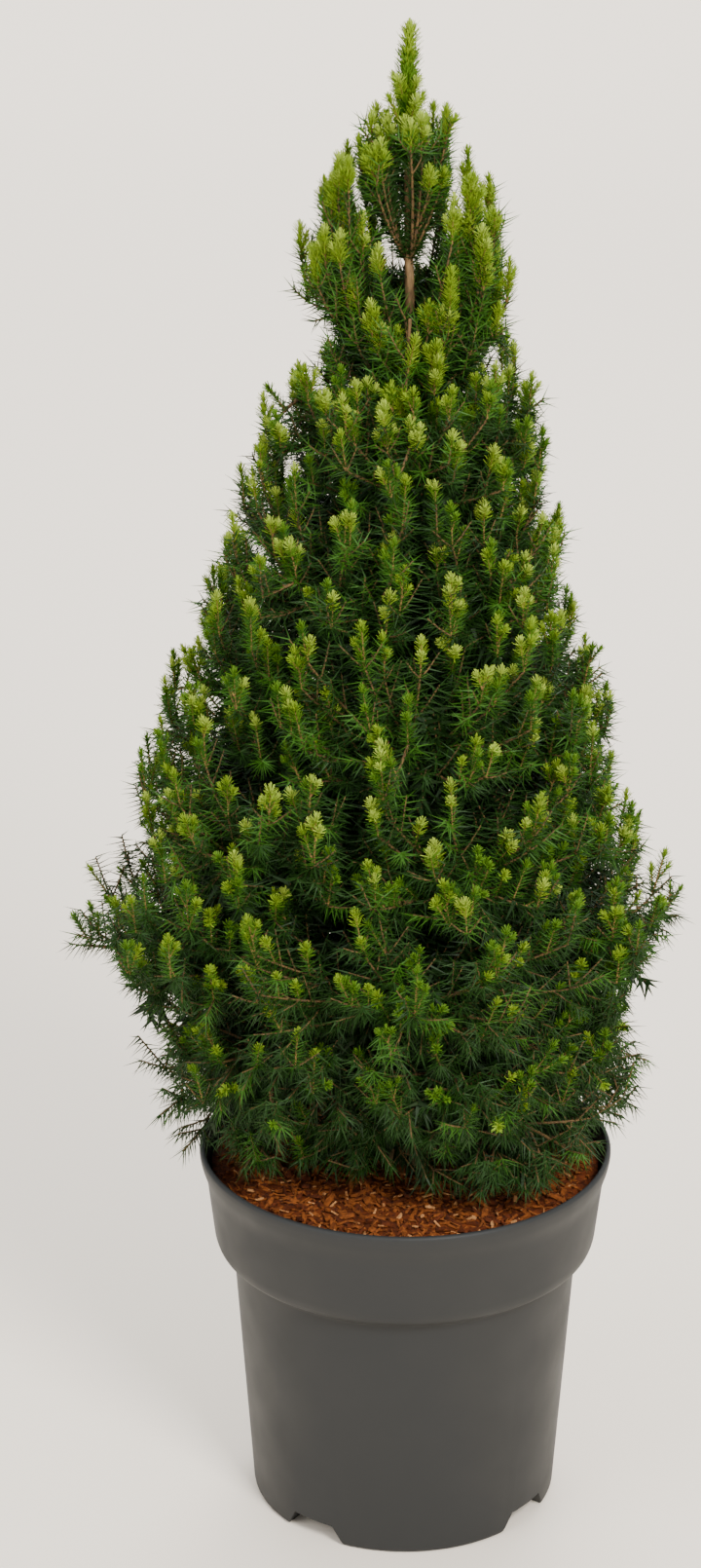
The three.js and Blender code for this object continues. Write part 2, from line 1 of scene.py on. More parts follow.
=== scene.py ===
"""Dresses the solid model of a dwarf white spruce in a nursery pot.

Each foliage mass of the model is grown again from the same rule and carried on to finer twigs, shoots and
needles. The trunk and boughs get bark, the pot its moulded finish, and the mulch bed its chips of bark.
Like the solid model, the growing rule works in millimetres. The meshes are in metres.
"""

import json
import math
import random
from collections import defaultdict
from functools import lru_cache
from typing import NamedTuple

import bmesh
import bpy
from bpy.props import FloatProperty, FloatVectorProperty, IntProperty, PointerProperty
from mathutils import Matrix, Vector, noise

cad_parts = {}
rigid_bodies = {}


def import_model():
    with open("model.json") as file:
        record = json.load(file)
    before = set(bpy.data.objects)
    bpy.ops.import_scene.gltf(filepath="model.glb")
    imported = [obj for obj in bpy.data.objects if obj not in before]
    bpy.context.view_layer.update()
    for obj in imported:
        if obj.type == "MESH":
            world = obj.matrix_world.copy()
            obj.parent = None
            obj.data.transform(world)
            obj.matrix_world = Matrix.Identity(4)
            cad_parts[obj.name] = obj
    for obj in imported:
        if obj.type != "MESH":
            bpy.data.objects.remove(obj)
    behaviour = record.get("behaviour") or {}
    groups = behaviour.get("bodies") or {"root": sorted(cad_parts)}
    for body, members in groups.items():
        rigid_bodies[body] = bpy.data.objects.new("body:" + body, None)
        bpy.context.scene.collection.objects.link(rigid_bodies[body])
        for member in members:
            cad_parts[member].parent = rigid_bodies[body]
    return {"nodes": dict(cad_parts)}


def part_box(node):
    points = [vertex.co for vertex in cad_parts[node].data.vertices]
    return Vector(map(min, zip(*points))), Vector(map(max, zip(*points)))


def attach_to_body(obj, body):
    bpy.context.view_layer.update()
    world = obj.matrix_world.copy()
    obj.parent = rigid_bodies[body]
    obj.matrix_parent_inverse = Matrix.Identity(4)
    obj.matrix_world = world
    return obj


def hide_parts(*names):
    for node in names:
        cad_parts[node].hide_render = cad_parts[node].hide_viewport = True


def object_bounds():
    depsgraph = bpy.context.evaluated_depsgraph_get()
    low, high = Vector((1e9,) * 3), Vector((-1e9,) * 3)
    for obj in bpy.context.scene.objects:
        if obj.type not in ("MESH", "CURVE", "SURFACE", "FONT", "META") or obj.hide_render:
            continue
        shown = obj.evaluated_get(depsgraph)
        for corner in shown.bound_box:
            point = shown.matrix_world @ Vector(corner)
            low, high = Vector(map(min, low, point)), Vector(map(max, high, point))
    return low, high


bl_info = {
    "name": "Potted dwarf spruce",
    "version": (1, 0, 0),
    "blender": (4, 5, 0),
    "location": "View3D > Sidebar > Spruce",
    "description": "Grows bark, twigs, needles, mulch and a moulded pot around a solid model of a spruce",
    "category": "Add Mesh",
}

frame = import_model()
CAD_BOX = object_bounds()

MM = 0.001
GOLDEN_ANGLE = math.pi * (3 - math.sqrt(5))
GOLDEN_SHARE = (math.sqrt(5) - 1) / 2
UP = Vector((0, 0, 1))

POT_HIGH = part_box("pot")[1]
TRUNK_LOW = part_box("trunk")[0]
TRUNK_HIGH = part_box("trunk")[1]
MULCH_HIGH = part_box("bark_mulch")[1]
TIP_HEIGHT = CAD_BOX[1].z


def linear(code):
    """A colour written as an sRGB hex value, as the linear values that Blender works in."""
    channels = []
    for shift in (16, 8, 0):
        value = ((code >> shift) & 255) / 255
        channels.append(value / 12.92 if value <= 0.04045 else ((value + 0.055) / 1.055) ** 2.4)
    return (*channels, 1.0)


def lerp(a, b, share):
    return a + (b - a) * share


def clamp(value, low, high):
    return max(low, min(high, value))


def smooth(value, low, high):
    """From 0 at low to 1 at high, level at both ends."""
    share = clamp((value - low) / (high - low), 0, 1)
    return share * share * (3 - 2 * share)


# The growing rule of the solid model, in millimetres

class Tier(NamedTuple):
    """A whorl of branches. Its values down to bough_end are the solid model's, the rest dress it.

    Young and bright tell how many of its shoots are new and how light those are, and lift how upright they
    stand. A low bright also gives the old needles darker tones and the new shoots duller ones, which is
    painted shade for the lower crown. Spread, bottom, top and waist bound the space that a branch fills, and
    inside is where its shoots begin. Droop is how far its needles hang, needle a factor on their length, and
    brush the length of a new shoot's soft end.
    """

    name: str
    attach: float
    count: int
    phase: float
    reach: float
    rise: float
    bow: float
    bough_end: float
    band: str
    twigs: int
    shoot: float
    young: float
    bright: float
    lift: float
    droop: float
    needle: float
    spread: float = 0.98
    bottom: float = 0.03
    top: float = 0.98
    waist: float = 1.0
    inside: float = 0.48
    brush: float = 10
    inner_twigs: int = 15


TIERS = (
    Tier("skirt", 306, 5, 180, 162, 4, 18, 0, "low", 20, 36, 0.02, 0.08, 0.1, 0.46, 1.08),
    Tier("low", 350, 5, 0, 172, 38, 8, 0.34, "low", 27, 36, 0.27, 0.1, 0.25, 0.42, 1.08),
    Tier(
        "broad", 410, 4, 180, 196, 50, 4, 0.34, "broad", 44, 38, 0.36, 0.2, 0.45, 0.34, 1.04,
        inner_twigs=18,
    ),
    Tier("middle", 478, 5, 0, 174, 78, 2, 0.32, "middle", 33, 38, 0.46, 0.5, 0.7, 0.26, 1.02, inner_twigs=20),
    Tier("upper", 556, 4, 180, 149, 96, 0, 0, "middle", 35, 38, 0.52, 0.6, 0.85, 0.2, 1.0, inner_twigs=34),
    Tier(
        "shoulder", 640, 4, 45, 122, 112, 0, 0, "upper", 31, 36, 0.5, 0.62, 0.9, 0.14, 0.98,
        waist=0.92, inner_twigs=31,
    ),
    Tier(
        "neck", 730, 4, 0, 93, 122, 0, 0, "upper", 29, 28, 0.58, 0.72, 0.9, 0.1, 0.96,
        top=0.85, waist=0.62, brush=12,
    ),
    Tier(
        "lobe", 836, 4, 0, 66, 128, -10, 0, "top", 38, 31, 0.75, 1.0, 1.4, 0, 0.96,
        spread=0.95, bottom=0.08, top=0.9, waist=1.08, inside=0.24, brush=19, inner_twigs=8,
    ),
    Tier(
        "crown", 934, 3, 180, 36, 106, -8, 0, "top", 14, 25, 0.95, 1.2, 1.1, 0, 0.96,
        spread=0.8, bottom=0.42, top=0.8, waist=1.15, inside=0.3, brush=17, inner_twigs=0,
    ),
)
BANDS = {
    "low": ("skirt", "low"),
    "broad": ("broad",),
    "middle": ("middle", "upper"),
    "upper": ("shoulder", "neck"),
    "top": ("lobe", "crown"),
}

LEFT_FULLNESS = 0.09
# Reach and rise of the branches that aren't regular. To follow the photograph's outline, most of these differ
# from the solid model's, by 3 cm at most at the tip.
ODD_BRANCHES = {
    ("skirt", 1): (198, 26),
    ("skirt", 2): (108, 4),
    ("skirt", 3): (166, 0),
    ("skirt", 4): (208, 8),
    ("low", 1): (172, 26),
    ("broad", 1): (250, 24),
    ("broad", 3): (206, 54),
    ("middle", 3): (198, 78),
    ("middle", 4): (200, 78),
    ("upper", 3): (142, 96),
    ("neck", 1): (98, 112),
    ("neck", 3): (88, 126),
    ("lobe", 1): (74, 100),
    ("lobe", 2): (50, 116),
    ("lobe", 3): (72, 114),
    ("lobe", 4): (42, 84),
}

FOOT_HEIGHT = TRUNK_LOW.z / MM
TRUNK_TIP_HEIGHT = TRUNK_HIGH.z / MM
TRUNK_FOOT_RADIUS = 12.5
TRUNK_TIP_RADIUS = 1.7
TRUNK_TAPER_POWER = 0.82
FLARE = 6.5
FLARE_HEIGHT = 26
FLARE_LOBES = 5
FLARE_LOBE_DEPTH = 0.28
TRUNK_LEAN = -3
TRUNK_BEND = (5, 4)
BOUGH_RADII = (4.6, 3.1)
STEM_TIP_RADIUS = 1.1
LEADER_BASE = 1040
FLOOR_OF_CROWN = 285
SEED = 4107

# How the scene carries the rule on to finer twigs

BORDER_DIP = 0.06
TWIG_FLOOR = 298
TWIG_RADII = (1.3, 0.8)
SHOOT_RADII = (0.8, 0.5)
SHOOT_SPACING = 10.5
SHOOT_ANGLE = 50
# Steps from twig to twig, across and upward, that spread them evenly over a branch's space
TWIG_STEPS = (0.7549, 0.5698)
INNER_SHARE = 0.55
CAP_LENGTH = 2.2
SIDE_BUD_LENGTH = 13
END_MARGIN = 3
TIP_MARGIN = 16
OPEN_ABOVE = ("neck", "lobe", "crown")
DEEP_SHADE = 0.6
YOUNG_EXPOSURE = (0.82, 0.97)
YOUNG_END_EXPOSURE = 0.8
# The open window near the top, to the trunk and past it to the sky: half widths, clearances in depth, and
# heights. No shoot ends in it, and up to BARE_TOP no needle grows in it either.
TRUNK_GAP = 8
TRUNK_CLEARANCE = 5
TRUNK_WINDOW = (905, 1005)
SKY_GAP = 17
SKY_CLEARANCE = 12
SKY_WINDOW = (925, 985)
BARE_TOP = 958
# Each whorl of the leader: its place as a share of the leader's length, its lean, and its shoots' length
LEADER_WHORLS = ((-0.62, 1.0, 31), (-0.3, 1.6, 28), (0.04, 2.0, 22))
WHORL_SHOOTS = 4
TRUNK_TWIG_HEIGHTS = (312, 850)
TRUNK_TWIG_STEP = 4
STEM_TUFTS_FOOT = 868
STEM_TUFTS_DENSE = 965
STEM_TUFTS_MARGIN = 20
STEM_TUFT_STEPS = (6, 3)


class Branch(NamedTuple):
    angle: float
    reach: float
    rise: float
    bow: float
    attach: float
    sector: int


class Line(NamedTuple):
    """A stretch of twig: its points, and the values that each of them carries for the node trees."""

    points: list
    values: dict


class Habit(NamedTuple):
    """How needles stand along a twig: in mm, and in degrees off the twig at either end of the stretch."""

    spacing: float
    length: float
    width: float
    root_lean: float
    tip_lean: float
    droops: float


HABITS = {
    "inner": Habit(2.2, 16.0, 4.0, 74, 58, 1.0),
    "mature": Habit(1.08, 12.8, 1.25, 68, 42, 1.0),
    "open": Habit(0.66, 9.5, 1.15, 58, 42, 0.3),
    "brush": Habit(0.27, 7.0, 1.0, 54, 40, 0.0),
    "cap": Habit(0.068, 6.1, 1.0, 60, 4, 0.0),
    "shaded": Habit(1.5, 13.5, 1.7, 68, 46, 1.0),
    "leader": Habit(0.08, 13.5, 1.2, 46, 32, 0.0),
}


def trunk_axis(height):
    share = (height - FOOT_HEIGHT) / (TRUNK_TIP_HEIGHT - FOOT_HEIGHT)
    x = TRUNK_LEAN * share + TRUNK_BEND[0] * math.sin(math.pi * share)
    return Vector((x, TRUNK_BEND[1] * math.sin(2 * math.pi * share), height))


def trunk_radius(height, angle):
    rise = max(0, height - FOOT_HEIGHT)
    share = rise / (TRUNK_TIP_HEIGHT - FOOT_HEIGHT)
    taper = lerp(TRUNK_FOOT_RADIUS, TRUNK_TIP_RADIUS, share**TRUNK_TAPER_POWER)
    flare = FLARE * math.exp(-rise / FLARE_HEIGHT)
    return taper + flare * (1 + FLARE_LOBE_DEPTH * math.cos(FLARE_LOBES * angle))


def tier_reach(tier, angle):
    return tier.reach * (1 - LEFT_FULLNESS * math.cos(angle))


def branch_of(tier, sector):
    angle = math.radians(tier.phase + (sector - 1) * 360 / tier.count)
    reach, rise = ODD_BRANCHES.get((tier.name, sector), (tier_reach(tier, angle), tier.rise))
    return Branch(angle, reach, rise, tier.bow, tier.attach, sector)


def branch_point(branch, share):
    foot = trunk_axis(branch.attach) * (1 - share)
    radius = branch.reach * share
    height = branch.attach + branch.rise * share + branch.bow * 4 * share * (1 - share)
    x = radius * math.cos(branch.angle) + foot.x
    y = radius * math.sin(branch.angle) + foot.y
    return Vector((x, y, height))


def tier_height(tier, radius):
    share = radius / tier.reach
    return tier.attach + tier.rise * share + tier.bow * 4 * share * (1 - share)


def space_heights(index, radius):
    own = tier_height(TIERS[index], radius)
    floor = (own + tier_height(TIERS[index - 1], radius)) / 2 if index else FLOOR_OF_CROWN
    is_last = index + 1 == len(TIERS)
    ceiling = LEADER_BASE if is_last else (own + tier_height(TIERS[index + 1], radius)) / 2
    return floor, ceiling


def space_point(index, branch, across, radius, upward):
    """A point of a branch's own space: how far across it, out from the trunk, and up in it."""
    tier = TIERS[index]
    angle = branch.angle + across * math.pi / tier.count
    floor, ceiling = space_heights(index, radius)
    own_rise = (branch.rise - tier.rise) * (1 - abs(across)) * radius / branch.reach
    height = lerp(floor, max(ceiling, floor), upward) + own_rise
    return Vector((radius * math.cos(angle), radius * math.sin(angle), height))


def crown_limit(index, branch, across, upward):
    """The crown's radius there: it runs over from tier to tier, and dips between two branches."""
    tier = TIERS[index]
    regular = tier_reach(tier, branch.angle + across * math.pi / tier.count)
    beside = branch_of(tier, (branch.sector - 1 + (1 if across > 0 else -1)) % tier.count + 1)
    border = (branch.reach + beside.reach) / 2 * (1 - BORDER_DIP)
    whole = lerp(branch.reach, border, across * across)
    own = min(whole, regular)
    if upward < 0.5:
        edge = (own + tier_reach(TIERS[index - 1], branch.angle)) / 2 if index else own * 0.96
    else:
        is_last = index + 1 == len(TIERS)
        above = regular * 0.6 if is_last else tier_reach(TIERS[index + 1], branch.angle)
        edge = (own + above) / 2 * tier.waist
    off_branch = abs(upward - 0.5) * 2
    return lerp(own, edge, off_branch) + (whole - own) * (1 - off_branch)


def path(start, middle, end, steps):
    """Points on a smooth bend from start to end that leans towards middle."""
    points = []
    for step in range(steps + 1):
        share = step / steps
        first = start.lerp(middle, share)
        points.append(first.lerp(middle.lerp(end, share), share))
    return points


def side_of(direction, turn):
    """A unit vector square to a direction, turned round it."""
    across = direction.cross(UP)
    across = across.normalized() if across.length > 1e-3 else Vector((1, 0, 0))
    return across * math.cos(turn) + across.cross(direction).normalized() * math.sin(turn)


def radius_of(point):
    return math.hypot(point.x, point.y)


def above_floor(point):
    return Vector((point.x, point.y, max(point.z, TWIG_FLOOR)))


class Crown:
    """Collects the stretches of twig of the whole plant by band of the crown and by kind."""

    def __init__(self):
        self.lines = defaultdict(list)

    def needles(self, tier, tone, habit_name, points, scale=1.0):
        points = [point for point in points if not in_open_window(point, BARE_TOP)]
        if len(points) < 2:
            return
        habit = HABITS[habit_name]
        size = tier.needle * scale
        values = {
            "spacing": habit.spacing * MM / scale,
            "length": habit.length * MM * size,
            "width": habit.width * MM,
            "root_lean": math.radians(habit.root_lean),
            "tip_lean": math.radians(habit.tip_lean),
            "droop": tier.droop * habit.droops,
        }
        ends = {key: (value, value) for key, value in values.items()}
        self.lines[tier.band, tone].append(Line(points, ends))

    def bark(self, tier, kind, points, radii):
        self.lines[tier.band, kind].append(Line(points, {"radius": radii}))


def candle_tones(tier, rng):
    """Tones of a new shoot's stem, brush and cap. Higher up the plant more of them are bright, and the duller
    ones lower down are painted shade.
    """
    draw = rng.random()
    if tier.bright >= 1 and draw < 0.85:
        return "fresh", "lime", "pale" if draw < 0.45 else "lime"
    head = "pale" if tier.bright > 0.4 else "lime"
    if draw < 0.32 * tier.bright:
        return "green", "lime", head
    if draw < 0.72 * tier.bright:
        return "green", "fresh", head
    if draw < 0.25 + 0.72 * tier.bright:
        return "green", "fresh", "lime"
    return "green", "green", "fresh"


def mature_tone(tier, rng, exposure):
    """Older needles: nearly black in the crown's own shade and lower down, which is painted shade, and a
    clearer green where light falls on them, which is painted light.
    """
    if tier.band == "top":
        return "green" if exposure > 0.7 else "old"
    if exposure < 0.84 - 0.22 * tier.bright:
        return "inner"
    lit = exposure > 0.94 - 0.2 * tier.bright
    return "green" if lit and rng.random() < 0.15 + 0.48 * tier.bright else "old"


def in_open_window(point, sky_top=SKY_WINDOW[1]):
    """Near the top the trunk shows in front between the shoots, with a little sky on either side."""
    axis = trunk_axis(point.z)
    beside = abs(point.x - axis.x)
    if point.y < axis.y - TRUNK_CLEARANCE and beside < TRUNK_GAP:
        if TRUNK_WINDOW[0] < point.z < TRUNK_WINDOW[1]:
            return True
    return abs(point.y - axis.y) > SKY_CLEARANCE and beside < SKY_GAP and SKY_WINDOW[0] < point.z < sky_top


def grow_bud(crown, tier, tones, root, direction, length, scale):
    """A short brush of new needles with a round cap of them over its end."""
    tip = root + direction * length
    cap_root = tip - direction * CAP_LENGTH
    crown.needles(tier, tones[1], "brush", [root, cap_root], scale)
    crown.needles(tier, tones[2], "cap", [cap_root, tip], scale)


def grow_candle(crown, tier, rng, root, direction, length, side_buds):
    """An upright shoot of new growth: open needles up its stem, and a dense soft brush at its end."""
    tones = candle_tones(tier, rng)
    direction = (direction * 0.6 + UP * (0.35 + 0.4 * tier.lift)).normalized()
    size = rng.uniform(0.68, 0.9) + 0.28 * tier.bright
    brush = min(tier.brush * size * rng.uniform(0.7, 1.3), length * 0.75)
    end = root + direction * length
    neck = end - direction * brush
    crown.bark(tier, "young_bark", [root, neck, end - direction * CAP_LENGTH], SHOOT_RADII)
    crown.needles(tier, tones[0], "open", [root, neck])
    grow_bud(crown, tier, tones, neck, direction, brush, size)
    turn = rng.random() * math.tau
    for _ in range(side_buds):
        turn += GOLDEN_ANGLE + rng.uniform(-0.3, 0.3)
        foot = root.lerp(neck, rng.uniform(0.45, 0.95))
        lean = (direction * 0.8 + side_of(direction, turn) * 0.5 + UP * 0.3 * tier.lift).normalized()
        bud = SIDE_BUD_LENGTH * rng.uniform(0.65, 1.1)
        crown.bark(tier, "young_bark", [foot, foot + lean * bud * 0.8], SHOOT_RADII)
        grow_bud(crown, tier, tones, foot + lean * bud * 0.25, lean, bud * 0.75, size * 0.85)


def turned_in(root, direction, length, limit):
    """The shoot's direction, turned upright as far as it takes to stay inside the crown's limit."""
    for _ in range(6):
        if radius_of(root + direction * length) <= limit - END_MARGIN:
            break
        direction = (direction + UP * 0.4).normalized()
    return direction


def exposure_at(tier, point, limit):
    """Near 1 at the crown's surface and near 0 at the trunk. The topmost tiers are open above too."""
    outward = radius_of(point) / limit
    if tier.name not in OPEN_ABOVE:
        return outward
    return max(outward, 0.9 * (point.z - tier.attach) / tier.rise)


def grow_shoot(crown, tier, rng, root, direction, length, limit):
    """One side shoot, young or old by how far out it stands."""
    direction = turned_in(root, direction, length, limit)
    end = above_floor(root + direction * length)
    if in_open_window(end):
        return
    exposure = exposure_at(tier, end, limit)
    if rng.random() < tier.young * smooth(exposure, *YOUNG_EXPOSURE):
        grow_candle(crown, tier, rng, root, direction, length, 0)
        return
    bend = above_floor(root.lerp(end, 0.5) + UP * (-0.1 * length * tier.lift))
    points = path(root, bend, end, 2)
    # Tones dealt by exposure are painted light and shade; deep in the crown the nearly black inner tone is
    # painted shade.
    tone = mature_tone(tier, rng, exposure)
    if tier.band != "top" and exposure < DEEP_SHADE:
        crown.needles(tier, "inner", "inner", points)
    else:
        crown.needles(tier, tone, "shaded" if tone == "inner" else "mature", points)
    crown.bark(tier, "old_bark", points, SHOOT_RADII)


def grow_twig(crown, index, branch, rng, number):
    """One twig by the rule: it leaves the stem alternately left and right, and bears side shoots."""
    tier = TIERS[index]
    hand = 1 if number % 2 else -1
    across = hand * lerp(0.04, tier.spread, (number * TWIG_STEPS[0] + rng.random() * 0.2) % 1)
    upward = lerp(tier.bottom, tier.top, (number * TWIG_STEPS[1] + rng.random() * 0.2) % 1)
    depth = ((number * GOLDEN_SHARE) % 1) ** 1.6
    limit = crown_limit(index, branch, across, upward)
    radius = max((limit - TIP_MARGIN / (1 + tier.lift)) * lerp(1.0, tier.inside + 0.1, depth), 5)
    tip = space_point(index, branch, across, radius, upward)
    sideways = 2 * radius * math.sin(abs(across) * math.pi / tier.count / 2)
    start_share = max(tier.bough_end, 0.06)
    share = clamp((radius - sideways * 0.75 - 14) / branch.reach, start_share, 0.93)
    root = branch_point(branch, share)
    if in_open_window(tip):
        return
    reach = tip - root
    ahead = branch_point(branch, min(share + 0.05, 1)) - branch_point(branch, share - 0.02)
    middle = root.lerp(tip, 0.5) + ahead.normalized() * reach.length * 0.16
    middle += UP * reach.length * (0.05 - 0.2 * tier.lift)
    steps = max(4, round(reach.length / 12))
    points = path(root, above_floor(middle), above_floor(tip), steps)
    crown.bark(tier, "old_bark", points, TWIG_RADII)

    # The inner part of a twig below the top takes the nearly black inner tone: painted shade.
    inside = 0
    if tier.band != "top":
        inside = sum(radius_of(point) / limit < INNER_SHARE for point in points)
    if inside > 1:
        crown.needles(tier, "inner", "inner", points[:inside])
    if steps - inside > 0:
        crown.needles(tier, "old", "mature", points[max(inside - 1, 0) :])

    shoots = max(2, int(reach.length * 0.8 / SHOOT_SPACING))
    turn = rng.random() * math.tau
    for i in range(shoots):
        along = lerp(0.2, 0.94, (i + rng.random() * 0.6) / shoots)
        place = along * steps
        k = min(int(place), steps - 1)
        at = points[k].lerp(points[k + 1], place - k)
        forward = (points[k + 1] - points[k]).normalized()
        turn += GOLDEN_ANGLE
        angle = math.radians(SHOOT_ANGLE + rng.uniform(-8, 8))
        if radius_of(at) / limit < tier.inside:
            continue
        direction = forward * math.cos(angle) + side_of(forward, turn) * math.sin(angle)
        direction = (direction + UP * tier.lift * 0.7).normalized()
        length = tier.shoot * lerp(1.0, 0.65, along) * rng.uniform(0.7, 1.1)
        grow_shoot(crown, tier, rng, at, direction, length, limit)

    grow_end(crown, tier, rng, points, limit)


def grow_end(crown, tier, rng, points, limit):
    """The end of a twig: at the crown's surface a new shoot with side buds, deeper in a tuft."""
    root = points[-1]
    forward = (root - points[-2]).normalized()
    direction = (forward + UP * tier.lift).normalized()
    length = tier.shoot * rng.uniform(0.6, 0.95)
    direction = turned_in(root, direction, length, limit)
    exposure = exposure_at(tier, root + direction * length, limit)
    if exposure > YOUNG_END_EXPOSURE and rng.random() < 2 * tier.young:
        grow_candle(crown, tier, rng, root, direction, length, rng.choice((0, 1, 1, 2)))
    else:
        grow_shoot(crown, tier, rng, root, direction, length, limit)
    turn = rng.random() * math.tau
    for i in range(2):
        side = side_of(direction, turn + i * math.pi)
        lean = (direction * 0.7 + side * 0.8 + UP * tier.lift * 0.3).normalized()
        grow_shoot(crown, tier, rng, root, lean, length * rng.uniform(0.6, 0.85), limit)


def grow_shaded_twig(crown, tier, rng, root, direction, length):
    """A twig deep in the crown, with three side shoots. Below the top its needles are sparse and coarse, in
    the nearly black inner tone that is painted shade.
    """
    tone, habit_name = ("old", "mature") if tier.band == "top" else ("inner", "inner")
    stretches = [[root, above_floor(root + direction * length)]]
    for along in (0.35, 0.6, 0.85):
        at = root.lerp(stretches[0][1], along)
        lean = (direction * 0.6 + side_of(direction, rng.random() * math.tau)).normalized()
        stretches.append([at, above_floor(at + lean * min(tier.shoot * 0.8, length * 0.9))])
    for points in stretches:
        crown.bark(tier, "old_bark", points, SHOOT_RADII)
        crown.needles(tier, tone, habit_name, points)


def grow_inner_twigs(crown, tier, branch, rng):
    """Shaded twigs along the inner half of a branch, so that the crown isn't hollow."""
    for _ in range(tier.inner_twigs):
        share = rng.uniform(0.06, 0.66)
        root = branch_point(branch, share)
        ahead = (branch_point(branch, share + 0.1) - root).normalized()
        direction = (ahead * 0.4 + side_of(ahead, rng.random() * math.tau) + UP * 0.25).normalized()
        length = branch.reach * min(rng.uniform(0.18, 0.32), 0.84 - share)
        grow_shaded_twig(crown, tier, rng, root, direction, length)


def grow_trunk_twigs(crown):
    """Shaded twigs straight from the trunk, which close the crown's middle to the light behind it."""
    rng = random.Random(SEED + 9)
    turn = 0.0
    for height in range(*TRUNK_TWIG_HEIGHTS, TRUNK_TWIG_STEP):
        tier = [tier for tier in TIERS if tier.attach <= height][-1]
        turn += GOLDEN_ANGLE
        direction = Vector((math.cos(turn), math.sin(turn), rng.uniform(0, 0.8))).normalized()
        length = tier.reach * rng.uniform(0.25, 0.45)
        grow_shaded_twig(crown, tier, rng, trunk_axis(height), direction, length)


def grow_branch(crown, index, sector):
    """One foliage mass: its stem, which goes on from the bough or trunk, and the twigs along it."""
    tier = TIERS[index]
    branch = branch_of(tier, sector)
    rng = random.Random(SEED + index * 100 + sector * 10)
    start = tier.bough_end or 0.02
    steps = 10
    end_share = 1 - (TIP_MARGIN + 8) / branch.reach
    points = [branch_point(branch, lerp(start, end_share, i / steps)) for i in range(steps + 1)]
    points = [above_floor(point) for point in points]
    tone = "green" if tier.band == "top" else "old"
    stem_radius = BOUGH_RADII[1] if tier.bough_end else 1.6 + 0.007 * branch.reach
    crown.bark(tier, "old_bark", points, (stem_radius, STEM_TIP_RADIUS))
    crown.needles(tier, tone, "mature", points[steps // 2 :])
    grow_end(crown, tier, rng, points, branch.reach)
    for number in range(round(tier.twigs * clamp(branch.reach / tier.reach, 0.7, 1.15))):
        grow_twig(crown, index, branch, rng, number)
    grow_inner_twigs(crown, tier, branch, rng)


def grow_leader(crown):
    """The erect top shoot: one long thick brush of new needles, with whorls of short shoots at its foot."""
    tier = TIERS[-1]
    rng = random.Random(SEED - 1)
    foot = trunk_axis(TRUNK_TIP_HEIGHT)
    top = Vector((foot.x + 2, foot.y, TIP_HEIGHT / MM - 9))
    axis = top - foot
    cap_root = top - axis.normalized() * CAP_LENGTH * 2
    crown.bark(tier, "young_bark", [foot, cap_root], (TRUNK_TIP_RADIUS, 0.6))
    crown.needles(tier, "green", "leader", [foot - axis * 0.4, foot + axis * 0.1])
    crown.needles(tier, "fresh", "leader", [foot + axis * 0.05, foot + axis * 0.6])
    crown.needles(tier, "lime", "leader", [foot + axis * 0.5, cap_root], 0.85)
    crown.needles(tier, "pale", "cap", [cap_root, top], 1.25)
    for whorl, (share, lean, length) in enumerate(LEADER_WHORLS):
        for i in range(WHORL_SHOOTS):
            angle = (i + 0.3 * whorl) / WHORL_SHOOTS * math.tau + rng.uniform(-0.3, 0.3)
            side = Vector((math.cos(angle) * lean, math.sin(angle) * lean, 1)).normalized()
            grow_candle(crown, tier, rng, foot + axis * share, side, length * rng.uniform(0.85, 1.1), 0)


def grow_stem_needles(crown):
    """Short tufts on the upper trunk, which the open top of the crown lets show."""
    rng = random.Random(SEED + 5)
    tier = TIERS[-1]
    height = STEM_TUFTS_FOOT
    while height < TRUNK_TIP_HEIGHT - STEM_TUFTS_MARGIN:
        angle = rng.random() * math.tau
        root = trunk_axis(height)
        direction = Vector((math.cos(angle), math.sin(angle), 0.9)).normalized()
        end = root + direction * rng.uniform(9, 18)
        crown.needles(tier, rng.choice(("old", "green")), "mature", [root, end])
        height += STEM_TUFT_STEPS[0] if height < STEM_TUFTS_DENSE else STEM_TUFT_STEPS[1]


@lru_cache(maxsize=1)
def grown_crown():
    crown = Crown()
    for index, tier in enumerate(TIERS):
        for sector in range(1, tier.count + 1):
            grow_branch(crown, index, sector)
    grow_trunk_twigs(crown)
    grow_leader(crown)
    grow_stem_needles(crown)
    return crown


# Making meshes and node trees

def add_object(name, data):
    """An object of the scene, made of a mesh, a lamp or a camera."""
    obj = bpy.data.objects.new(name, data)
    bpy.context.scene.collection.objects.link(obj)
    return obj


def skeleton(name, lines):
    """A mesh of edges along the lines, with each point's values as attributes."""
    vertices, edges = [], []
    columns = defaultdict(list)
    for line in lines:
        first = len(vertices)
        last = len(line.points) - 1
        vertices.extend(point * MM for point in line.points)
        edges.extend((first + k, first + k + 1) for k in range(last))
        for key, (root, tip) in line.values.items():
            columns[key].extend(lerp(root, tip, k / last) for k in range(last + 1))
    mesh = bpy.data.meshes.new(name)
    mesh.from_pydata(vertices, edges, [])
    for key, values in columns.items():
        mesh.attributes.new(key, "FLOAT", "POINT").data.foreach_set("value", values)
    return mesh


MATH = "ShaderNodeMath"
RANDOM = "FunctionNodeRandomValue"
NOISE = "ShaderNodeTexNoise"
POINT_VALUE = "GeometryNodeInputNamedAttribute"
# Where a random value's node has its float sockets: two inputs and an output
LEAST, MOST, DRAWN = 2, 3, 1


def add_node(tree, kind, inputs=None, **settings):
    """Adds a node with its settings. An input is a value, an output socket, or a node's first output."""
    node = tree.nodes.new(kind)
    for name, value in settings.items():
        setattr(node, name, value)
    for key, value in (inputs or {}).items():
        if isinstance(value, bpy.types.Node):
            value = value.outputs[0]
        if isinstance(value, bpy.types.NodeSocket):
            tree.links.new(value, node.inputs[key])
        else:
            node.inputs[key].default_value = value
    return node


